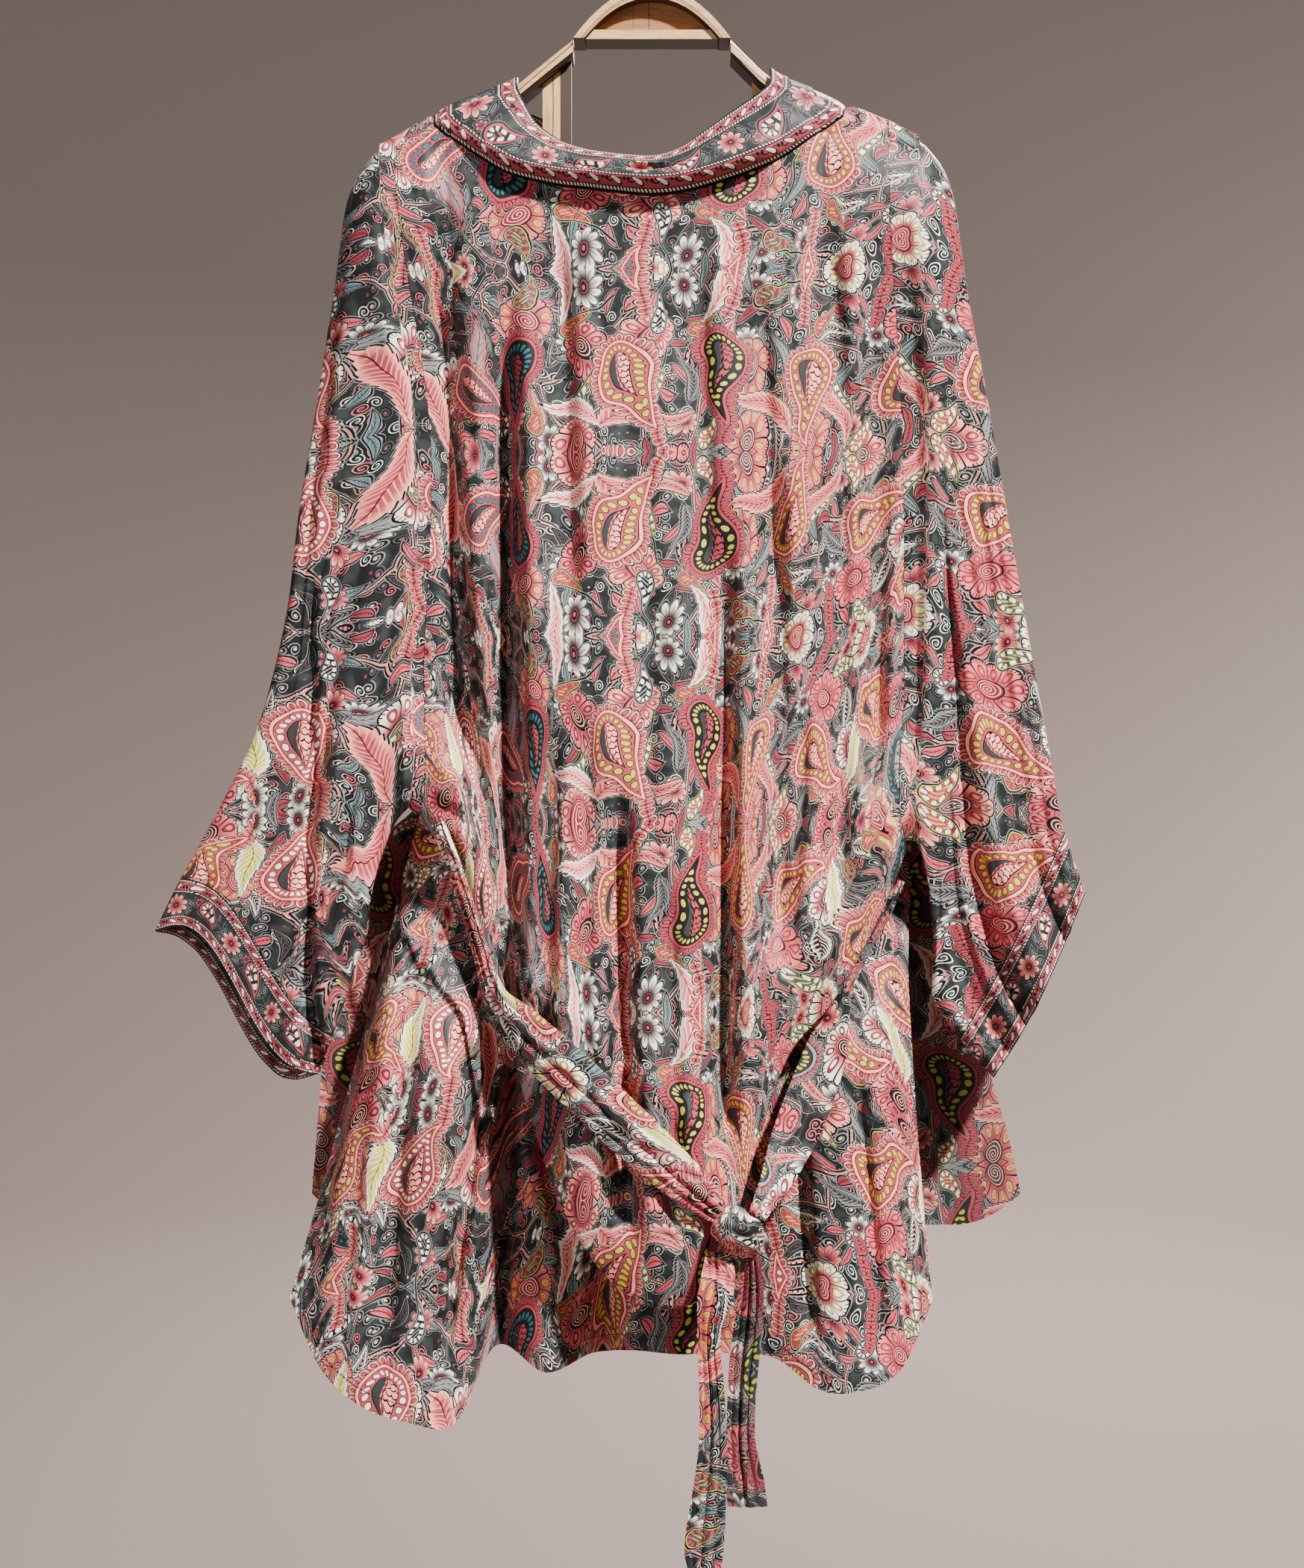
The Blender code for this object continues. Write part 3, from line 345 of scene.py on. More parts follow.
RIGHT_FOLDS = rows_of(
    SleeveFold,
    (0.20, 0.06, 9, 5, 0.10), (0.42, 0.05, -6, 7, 0.25), (0.62, 0.06, 12, -6, 0.30),
    (0.83, 0.05, 9, 6, 0.40), (0.10, 0.028, 4, 3, 0.04, 0.03), (0.31, 0.030, 7, -3, 0.10, -0.20, 3.0),
    (0.52, 0.025, 9, 3, 0.08, 0.10, 3.5), (0.72, 0.028, 8, 4, 0.25, 0.06, 3.0),
    (0.90, 0.024, 5, -3, 0.30, 0.0),
)
TIE_LEFT = rows_of(
    Strap,
    (-165, 700, 11), (-155, 727, 12), (-143, 762, 12), (-131, 802, 13), (-121, 832, 18),
    (-108, 851, 32), (-80, 878, 38), (-40, 916, 40), (0, 953, 38), (34, 984, 30), (52, 1000, 20),
)
TIE_RIGHT = rows_of(
    Strap,
    (190.6, 743.5, 9, -30), (178, 772, 10, -32), (160, 802, 12, -35), (146, 832, 16, -40),
    (137, 866, 30, -44), (124, 905, 36, -51), (108, 945, 34, -62), (95, 976, 24, -80),
    (80.6, 1003.2, 14, -101),
)
TAIL_LEFT = rows_of(
    Tail,
    (1030, 42, 60, -100), (1047, 38, 64, -102), (1066, 35, 62, -104), (1090, 35, 53, -101),
    (1127, 36, 55, -98), (1180, 36, 58, -97), (1228, 29, 57, -96), (1262, 25, 55, -95),
    (1281, 29, 52, -95),
)
TAIL_RIGHT = rows_of(
    Tail,
    (1031.9, 69, 83, -95.2), (1054, 67, 86, -90), (1080, 64, 86, -84), (1110, 60, 83, -78),
    (1145, 58, 80, -76), (1178, 57, 80, -75), (1204, 57, 86, -74), (1226, 58, 89, -74),
)
KNOT = rows_of(
    Ring,
    (52, 1001, -99, 7), (56, 1005, -102, 13), (62, 1011, -104, 16), (70, 1018, -103, 16),
    (77, 1025, -100, 12), (81, 1030, -97, 6),
)

# Where on the printed cloth each part of the belt is cut, in metres.
BELT_CUTS = {"tie_left": (0.31, 0.06), "tie_right": (0.53, 0.22), "tail_left": (0.12, 0.37),
             "tail_right": (0.75, 0.19)}
# The lengthwise folds of the belt: place and half width as shares of half its width, and depth.
BELT_FOLDS = ((-0.15, 0.12, 3.4), (0.45, 0.1, 2.2), (-0.62, 0.1, 1.8))
BELT_ROUND = 3.4
BELT_ROLL = 3.0
BELT_COLUMNS = 5


class Side(Enum):
    """The image's left and right, as the sign of across."""

    LEFT = -1
    RIGHT = 1

    @property
    def word(self) -> str:
        """The side's name in lower case."""
        return self.name.lower()


@dataclass(frozen=True)
class Detail:
    """How finely the cloth's grids are divided.

    back_steps and front_steps give the rows between one key of a column and the next.
    """

    per_gore: int
    back_steps: tuple[int, ...]
    front_steps: tuple[int, ...]
    front_columns: int
    band_columns: int
    per_section: int

    @property
    def back_armhole(self) -> int:
        """How many rows of the back are above the slit."""
        return 1 + sum(self.back_steps[:6])

    @property
    def front_armhole(self) -> int:
        """How many rows of a front are above the slit."""
        return 1 + sum(self.front_steps[: 3 + ARMHOLE_LEVELS])


COARSE = Detail(per_gore=3, back_steps=(1, 1, 1, 3, 3, 3, 1, 1, 1, 1, 1, 2, 3, 3),
                front_steps=(1, 1, 1, 1, 1, 1, 1, 2, 2, 2, 1, 1, 2, 1, 1), front_columns=10,
                band_columns=4, per_section=COARSE_SECTIONS)
FINE = Detail(per_gore=12, back_steps=(2, 2, 3, 30, 22, 22, 4, 4, 4, 4, 4, 10, 16, 16),
              front_steps=(2, 2, 3, 3, 4, 5, 9, 12, 14, 13, 3, 6, 9, 7, 5), front_columns=40,
              band_columns=10, per_section=12)


def seen(points: Array) -> Array:
    """Moves points given against the hanging plane to their true place.

    Args:
        points: Points as (across, down, depth) in the last axis.

    Returns:
        The same points as (x, y, z), in millimetres.
    """
    points = np.asarray(points, dtype=float)
    shrink = (SIGHT_DISTANCE + points[..., 2]) / SIGHT_DISTANCE
    across = points[..., 0] * shrink
    down = SIGHT_DOWN + (points[..., 1] - SIGHT_DOWN) * shrink
    return np.stack([across, points[..., 2], -down], axis=-1)


def through(keys: Sequence[Array], steps: Sequence[int]) -> Array:
    """A smooth curve through keys along their first axis.

    Args:
        keys: The key rows.
        steps: How many parts lie in each span between two keys.

    Returns:
        The rows of the curve.
    """
    keys = np.asarray(keys, dtype=float)
    spans = np.linalg.norm(np.diff(keys, axis=0), axis=-1, keepdims=True)
    spans = np.maximum(spans, 1e-6)
    slopes = np.diff(keys, axis=0) / spans
    tangents = np.empty_like(keys)
    tangents[0] = slopes[0]
    tangents[-1] = slopes[-1]
    tangents[1:-1] = (slopes[:-1] * spans[1:] + slopes[1:] * spans[:-1]) / (spans[1:] + spans[:-1])
    rows = [keys[0]]
    for i, count in enumerate(steps):
        for part in range(1, count + 1):
            t = part / count
            rows.append(
                (2 * t**3 - 3 * t**2 + 1) * keys[i]
                + (t**3 - 2 * t**2 + t) * spans[i] * tangents[i]
                + (3 * t**2 - 2 * t**3) * keys[i + 1]
                + (t**3 - t**2) * spans[i] * tangents[i + 1]
            )
    return np.array(rows)


def refined(table: Sequence, count: int) -> Array:
    """Smooth steps from each row of a table to the next.

    Args:
        table: Rows of numbers or of points.
        count: How many steps lie between two rows.

    Returns:
        The rows, as an array.
    """
    rows = np.asarray(table, dtype=float)
    padded = np.concatenate([2 * rows[:1] - rows[1:2], rows, 2 * rows[-1:] - rows[-2:-1]])
    out = []
    for i in range(len(rows) - 1):
        a, b, c, d = padded[i : i + 4]
        for part in range(count):
            t = part / count
            out.append(0.5 * (2 * b + (c - a) * t + (2 * a - 5 * b + 4 * c - d) * t**2
                              + (3 * b - a - 3 * c + d) * t**3))
    out.append(rows[-1])
    return np.array(out)


def unit(vectors: Array) -> Array:
    """The same vectors with a length of 1."""
    return vectors / np.maximum(np.linalg.norm(vectors, axis=-1, keepdims=True), 1e-9)


def closed_up(points: Array, closed: bool) -> Array:
    """A grid, with its first column again at the end where its columns run round."""
    return np.concatenate([points, points[:, :1]], axis=1) if closed else points


def run_along(points: Array, axis: int) -> Array:
    """How far each point lies from the first one along an axis, measured on the cloth."""
    lengths = np.cumsum(np.linalg.norm(np.diff(points, axis=axis), axis=-1), axis=axis)
    return np.concatenate([np.zeros_like(lengths.take([0], axis=axis)), lengths], axis=axis)


def arm_round() -> tuple[tuple[float, float], ...]:
    """Three points of cloth that turns over a hanger arm: out from its middle, and down from its top."""
    arc = math.sin(math.radians(45))
    corner = ARM_CORNER + REST
    flat = ARM_HALF_DEPTH - ARM_CORNER
    return (flat, 0.0), (flat + corner * arc, corner * (1 - arc)), (flat + corner, corner)


def linked(name: str, data: bpy.types.ID) -> bpy.types.Object:
    """A new object in the scene."""
    made = bpy.data.objects.new(name, data)
    bpy.context.scene.collection.objects.link(made)
    return made


def arm_top(across: Array | float) -> Array:
    """How far down the top of the hanger arm is at a place across."""
    table = np.array(tuple(reversed(LEFT_ARM)) + RIGHT_ARM, dtype=float)
    return np.interp(across, table[:, 0], table[:, 1])


def crease_depth(across: Array, down: Array, creases: Iterable[Crease]) -> Array:
    """How far a set of creases pushes the cloth in.

    Args:
        across: Places across.
        down: Places down.
        creases: The creases.

    Returns:
        The push at each place.
    """
    total = np.zeros_like(across)
    for c in creases:
        run = np.array([c.across_2 - c.across_1, c.down_2 - c.down_1], dtype=float)
        length = np.linalg.norm(run)
        run /= length
        along = (across - c.across_1) * run[0] + (down - c.down_1) * run[1]
        aside = (across - c.across_1) * run[1] - (down - c.down_1) * run[0]
        ease = 0.25 * length
        fade = np.clip(along / ease + 0.5, 0, 1) * np.clip((length - along) / ease + 0.5, 0, 1)
        fade = fade * fade * (3 - 2 * fade)
        width = c.half_width * np.where(aside > 0, c.skew, 1.0)
        total += c.depth * np.exp(-((aside / width) ** 2)) * fade
    return total


def inward(grid: Array, turn: int = 1, closed: bool = False) -> Array:
    """The direction from the outside to the inside of the cloth at each point of a grid.

    Args:
        grid: The outside's points.
        turn: 1 or -1, for the grid's handedness.
        closed: Whether the columns run round.

    Returns:
        Unit vectors.
    """
    if closed:
        along_u = np.roll(grid, -1, axis=1) - np.roll(grid, 1, axis=1)
    else:
        along_u = np.gradient(grid, axis=1)
    along_v = np.gradient(grid, axis=0)
    direction = turn * np.cross(along_u, along_v)
    for _ in range(2 if closed else 1):
        direction = unit(direction)
        before, after = np.roll(direction, 1, axis=1), np.roll(direction, -1, axis=1)
        if not closed:
            before[:, 0], after[:, -1] = direction[:, 0], direction[:, -1]
        direction = before + 2 * direction + after
    return unit(direction)


def over_wood(points: Array, wall: float) -> Array:
    """Moves true points of cloth clear of the hanger arms that they pass over or hang beside.

    Args:
        points: The cloth's outside.
        wall: The cloth's thickness.

    Returns:
        The moved points.
    """
    points = points.copy()
    across, depth, height = points[..., 0], points[..., 1], points[..., 2]
    flat = ARM_HALF_DEPTH - ARM_CORNER
    first, last = GORES[NECK_FIRST].top_across, GORES[NECK_LAST].top_across
    near_neck, far_out = LIFT_EASE
    lift = np.interp(across, (first - far_out, first - near_neck, last + near_neck, last + far_out),
                     (LIFT, NECK_LIFT, NECK_LIFT, LIFT))
    corner = ARM_CORNER + wall + lift
    reach = np.clip(np.abs(depth) - flat, 0, corner)
    drop = corner - np.sqrt(np.clip(corner**2 - reach**2, 0, None))
    top = -(arm_top(across) - wall - lift)
    near = (np.abs(depth) < flat + corner) & (height > top - 2 * ARM_HEIGHT)
    near &= (across > LEFT_ARM[-1][0] - 2) & (across < RIGHT_ARM[-1][0] + 2)
    beside = near & (height < top - corner)
    above = near & ~beside
    points[..., 2] = np.where(above, np.maximum(height, top - drop), height)
    points[..., 1] = np.where(beside, np.sign(depth) * (flat + corner), depth)
    return points


def pattern_of(points: Array, closed: bool = False, level_row: int | None = None) -> Array:
    """Where each point of a grid lies on the flat cloth, in metres.

    Args:
        points: The outside's points, in millimetres.
        closed: Whether the columns run round.
        level_row: The row that hangs level, from whose height the pattern is counted.

    Returns:
        Pattern coordinates, with one more column where the grid is closed.
    """
    shut = closed_up(points, closed)
    u = run_along(shut, 1)
    u -= u[:, shut.shape[1] // 2][:, None]
    v = run_along(shut, 0)
    if level_row is not None:
        v += -shut[level_row, :, 2] - v[level_row]
    return np.stack([u, v], axis=-1) * MM


def strip_pattern(points: Array, closed: bool = False) -> Array:
    """Where each point of a border lies on its straight strip, in metres: U along it and V across it.

    Args:
        points: Rows across the strip and columns along it, in millimetres.
        closed: Whether the columns run round.

    Returns:
        Pattern coordinates, with one more column where the strip is closed.
    """
    shut = closed_up(points, closed)
    middle = shut.mean(axis=0)
    along = unit(np.gradient(middle, axis=0))
    u = run_along(middle, 0) + ((shut - middle) * along).sum(axis=-1)
    v = np.broadcast_to(np.linspace(0, BAND_WIDTH, len(shut))[:, None], u.shape)
    return np.stack([u, v], axis=-1) * MM


@dataclass
class Cloth:
    """One piece of cloth: a grid of its outside, and what its wall and its print need."""

    name: str
    points: Array
    inside: Array
    pattern: Array
    wall: float = SHOWN_WALL
    closed: bool = False

    def _faces(self) -> tuple[Array, Array, Array]:
        """The faces' corners.

        Returns:
            Vertex numbers, pattern places and material numbers, one row for each face.
        """
        rows, columns = self.points.shape[:2]
        inner = rows * columns
        around = columns if self.closed else columns - 1
        corners: list[Array] = []
        sides: list[tuple[Array, Array]] = []
        r, c = (a.ravel() for a in np.meshgrid(np.arange(rows - 1), np.arange(around), indexing="ij"))
        main = np.stack([np.stack([r, r, r + 1, r + 1], -1), np.stack([c, c + 1, c + 1, c], -1)], -1)
        zero, one = np.zeros(4, int), np.ones(4, int)
        rim = np.array([0, 0, 1, 1])
        sides.append((main, np.tile(zero, (len(main), 1))))
        sides.append((main[:, ::-1], np.tile(one, (len(main), 1))))
        c = np.arange(around)
        for row in (0, rows - 1):
            fixed = np.full_like(c, row)
            edge = np.stack([np.stack([fixed] * 4, -1), np.stack([c, c + 1, c + 1, c], -1)], -1)
            sides.append((edge, np.tile(rim, (len(edge), 1))))
        if not self.closed:
            r = np.arange(rows - 1)
            for column in (0, columns - 1):
                fixed = np.full_like(r, column)
                edge = np.stack([np.stack([r, r + 1, r + 1, r], -1), np.stack([fixed] * 4, -1)], -1)
                sides.append((edge, np.tile(rim, (len(edge), 1))))
        vertices, places, finishes = [], [], []
        for number, (grid, layer) in enumerate(sides):
            vertices.append(grid[..., 0] * columns + grid[..., 1] % columns + layer * inner)
            places.append(self.pattern[grid[..., 0], grid[..., 1]])
            finishes.append(np.full(len(grid), 1 if number == 1 else 0))
        return np.concatenate(vertices), np.concatenate(places), np.concatenate(finishes)

    def build(self, outer: bpy.types.Material, inner: bpy.types.Material) -> bpy.types.Object:
        """Makes the piece's mesh object.

        Args:
            outer: The material of the outside and the edges.
            inner: The material of the inside.

        Returns:
            The object, which rides on the part.
        """
        vertices, places, finishes = self._faces()
        sides = (self.points, self.points + self.wall * self.inside)
        points = np.concatenate([side.reshape(-1, 3) for side in sides])
        mesh = bpy.data.meshes.new(self.name)
        mesh.vertices.add(len(points))
        mesh.vertices.foreach_set("co", (points * MM).astype(np.float32).ravel())
        mesh.loops.add(vertices.size)
        mesh.loops.foreach_set("vertex_index", vertices.astype(np.int32).ravel())
        mesh.polygons.add(len(vertices))
        mesh.polygons.foreach_set("loop_start", np.arange(0, vertices.size, 4, dtype=np.int32))
        mesh.polygons.foreach_set("material_index", finishes.astype(np.int32))
        mesh.update(calc_edges=True)
        layer = mesh.uv_layers.new(name="cloth")
        layer.data.foreach_set("uv", places.astype(np.float32).ravel())
        shape = bmesh.new()
        shape.from_mesh(mesh)
        bmesh.ops.recalc_face_normals(shape, faces=shape.faces)
        if shape.calc_volume(signed=True) < 0:
            bmesh.ops.reverse_faces(shape, faces=shape.faces)
        shape.to_mesh(mesh)
        shape.free()
        mesh.materials.append(outer)
        mesh.materials.append(inner)
        mesh.shade_smooth()
        mesh.set_sharp_from_angle(angle=math.radians(75))
        made = linked(self.name, mesh)
        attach(made, "root")
        return made

    @property
    def flat_size(self) -> tuple[float, float]:
        """The width and length of a rectangle of the cloth's own area and mean length, in metres."""
        shut = closed_up(self.points, self.closed)
        length = np.linalg.norm(np.diff(shut, axis=0), axis=-1).sum(axis=0).mean()
        across, down = np.diff(shut, axis=1)[:-1], np.diff(shut, axis=0)[:, :-1]
        area = np.linalg.norm(np.cross(across, down), axis=-1).sum()
        return float(area / length * MM), float(length * MM)


Value = Union["Signal", float, int]


@dataclass
class Signal:
    """One output of a node, which takes part in sums as a number does."""

    graph: "Graph"
    socket: bpy.types.NodeSocket

    def _sum(self, operation: str, *others: Value) -> "Signal":
        """Adds one Math node."""
        return self.graph.math(operation, self, *others)

    def __add__(self, other: Value) -> "Signal":
        """The sum."""
        return self._sum("ADD", other)

    def __sub__(self, other: Value) -> "Signal":
        """The difference."""
        return self._sum("SUBTRACT", other)

    def __rsub__(self, other: Value) -> "Signal":
        """The difference, from the right."""
        return self.graph.math("SUBTRACT", other, self)

    def __mul__(self, other: Value) -> "Signal":
        """The product."""
        return self._sum("MULTIPLY", other)

    def __truediv__(self, other: Value) -> "Signal":
        """The quotient."""
        return self._sum("DIVIDE", other)

    def __pow__(self, other: Value) -> "Signal":
        """The power."""
        return self._sum("POWER", other)

    def __neg__(self) -> "Signal":
        """The opposite."""
        return self._sum("MULTIPLY", -1.0)

    def __abs__(self) -> "Signal":
        """The size without the sign."""
        return self._sum("ABSOLUTE")

    def __gt__(self, other: Value) -> "Signal":
        """1 where this is larger, else 0."""
        return self._sum("GREATER_THAN", other)

    def __lt__(self, other: Value) -> "Signal":
        """1 where this is smaller, else 0."""
        return self._sum("LESS_THAN", other)

    def least(self, other: Value) -> "Signal":
        """The smaller of the two."""
        return self._sum("MINIMUM", other)

    def most(self, other: Value) -> "Signal":
        """The larger of the two."""
        return self._sum("MAXIMUM", other)

    def root(self) -> "Signal":
        """The square root."""
        return self._sum("SQRT")

    def sine(self) -> "Signal":
        """The sine."""
        return self._sum("SINE")

    def part(self) -> "Signal":
        """What is left after the whole number."""
        return self._sum("FRACT")

    def folded(self, length: Value) -> "Signal":
        """Runs from 0 to a length and back."""
        return self._sum("PINGPONG", length)

    def kept(self) -> "Signal":
        """The value, kept from 0 to 1."""
        return self.least(1.0).most(0.0)

    def between(self, low: float, high: float) -> "Signal":
        """A soft step from 0 at low to 1 at high."""
        return self.graph.add("ShaderNodeMapRange", {"interpolation_type": "SMOOTHSTEP"},
                              {"Value": self, "From Min": low, "From Max": high})


class Graph:
    """Adds nodes to one tree and links them."""

    def __init__(self, tree: bpy.types.NodeTree) -> None:
        """Keeps the tree."""
        self.tree = tree

    def add(self, kind: str, settings: dict | None = None, values: dict | None = None,
            output: int | str = 0) -> Signal:
        """Adds any node.

        Args:
            kind: The node's type.
            settings: Its properties.
            values: Its inputs by name or number, each a signal or a constant.
            output: The output that is returned.

        Returns:
            That output.
        """
        node = self.tree.nodes.new(kind)
        for key, value in (settings or {}).items():
            setattr(node, key, value)
        for key, value in (values or {}).items():
            socket = node.inputs[key]
            if isinstance(value, Signal):
                self.tree.links.new(value.socket, socket)
            else:
                socket.default_value = value
        return Signal(self, node.outputs[output])

    def math(self, operation: str, *values: Value) -> Signal:
        """One Math node."""
        return self.add("ShaderNodeMath", {"operation": operation}, dict(enumerate(values)))

    def also(self, signal: Signal, output: int | str) -> Signal:
        """Another output of a signal's node."""
        return Signal(self, signal.socket.node.outputs[output])

    def joined(self, x: Value, y: Value, z: Value = 0.0) -> Signal:
        """A vector from three numbers."""
        return self.add("ShaderNodeCombineXYZ", None, {0: x, 1: y, 2: z})

    def split(self, vector: Signal) -> tuple[Signal, Signal, Signal]:
        """The three numbers of a vector."""
        first = self.add("ShaderNodeSeparateXYZ", None, {0: vector})
        return first, self.also(first, 1), self.also(first, 2)

    def vector(self, operation: str, *values: Signal | tuple) -> Signal:
        """One Vector Math node."""
        return self.add("ShaderNodeVectorMath", {"operation": operation}, dict(enumerate(values)))

    def mixed(self, share: Value, first: "Signal | Colour", second: "Signal | Colour") -> Signal:
        """A colour between two.

        Args:
            share: 0 for the first and 1 for the second.
            first: The first colour.
            second: The second colour.

        Returns:
            The mixed colour.
        """
        values = {0: share}
        for place, colour in ((6, first), (7, second)):
            values[place] = colour if isinstance(colour, Signal) else (*colour, 1.0)
        return self.add("ShaderNodeMix", {"data_type": "RGBA"}, values, 2)

    def ramp(self, value: Signal, stops: Sequence[tuple[float, Colour]], sharp: bool = True) -> Signal:
        """A colour looked up along a scale.

        Args:
            value: The place on the scale, from 0 to 1.
            stops: Places and their colours.
            sharp: Whether the colours meet in lines and not in blends.

        Returns:
            The colour.
        """
        node = self.tree.nodes.new("ShaderNodeValToRGB")
        scale = node.color_ramp
        scale.interpolation = "CONSTANT" if sharp else "LINEAR"
        for place, colour in stops[:-2]:
            scale.elements.new(place)
        for element, (place, colour) in zip(scale.elements, stops):
            element.position = place
            element.color = (*colour, 1.0)
        self.tree.links.new(value.socket, node.inputs[0])
        return Signal(self, node.outputs[0])


class Ink(Enum):
    """The colours of the print, as the share of red, green and blue light that each throws back."""

    SLATE = (0.027, 0.0318, 0.0318)
    SHADE = (0.0095, 0.0112, 0.0118)
    GREY = (0.065, 0.073, 0.073)
    CORAL = (0.35, 0.05, 0.066)
    ROSE = (0.16, 0.024, 0.036)
    PINK = (0.68, 0.132, 0.138)
    BLUSH = (0.9, 0.33, 0.25)
    CREAM = (0.88, 0.8, 0.68)
    TEAL = (0.026, 0.115, 0.127)
    MIST = (0.23, 0.255, 0.245)
    LIME = (0.48, 0.455, 0.04)
    LINE = (0.004, 0.003, 0.0034)
    WINE = (0.06, 0.007, 0.012)


def put(shader: bpy.types.Node, name: str, value: "Signal | float | tuple[float, ...]") -> None:
    """Links or sets one input of a shader."""
    socket = shader.inputs[name]
    if isinstance(value, Signal):
        value.graph.tree.links.new(value.socket, socket)
    else:
        socket.default_value = value


def new_finish(name: str) -> tuple[bpy.types.Material, Graph, bpy.types.Node]:
    """A new material, its graph and its shader."""
    made = bpy.data.materials.new(name)
    made.use_nodes = True
    return made, Graph(made.node_tree), made.node_tree.nodes["Principled BSDF"]


def bump(g: Graph, strength: float, distance: float, height: Signal) -> Signal:
    """A bumped normal, with its distance in metres."""
    return g.add("ShaderNodeBump", None, {"Strength": strength, "Distance": distance, "Height": height})


@dataclass(frozen=True)
class Spot:
    """A motif's own place on the cloth, in millimetres, and two random numbers."""

    x: Signal
    y: Signal
    chance: Value
    other: Value


@dataclass(frozen=True)
class Scatter:
    """How one kind of motif is spread over the cloth."""

    step_across: float
    step_along: float
    seed: float
    loose: float
    turn: float
    start: float = 0.0

    def spot(self, g: Graph, place: Signal) -> Spot:
        """The nearest motif's own place.

        Args:
            g: The graph.
            place: Millimetres across and along the cloth.

        Returns:
            The spot.
        """
        step = (self.step_across, self.step_along, 1.0)
        shift = (self.seed, 0.37 * self.seed, 0.0)
        spread = g.vector("ADD", g.vector("DIVIDE", place, step), shift)
        cell = g.add("ShaderNodeTexVoronoi", {"voronoi_dimensions": "2D", "feature": "F1"},
                     {"Vector": spread, "Scale": 1.0, "Randomness": self.loose}, "Position")
        first, second, third = g.split(g.also(cell, "Color"))
        local = g.vector("MULTIPLY", g.vector("SUBTRACT", spread, cell), step)
        turned = g.add("ShaderNodeVectorRotate", {"rotation_type": "Z_AXIS"},
                       {"Vector": local, "Angle": (first - 0.5) * self.turn + self.start})
        x, y, _ = g.split(turned)
        return Spot(x, y, second, third)


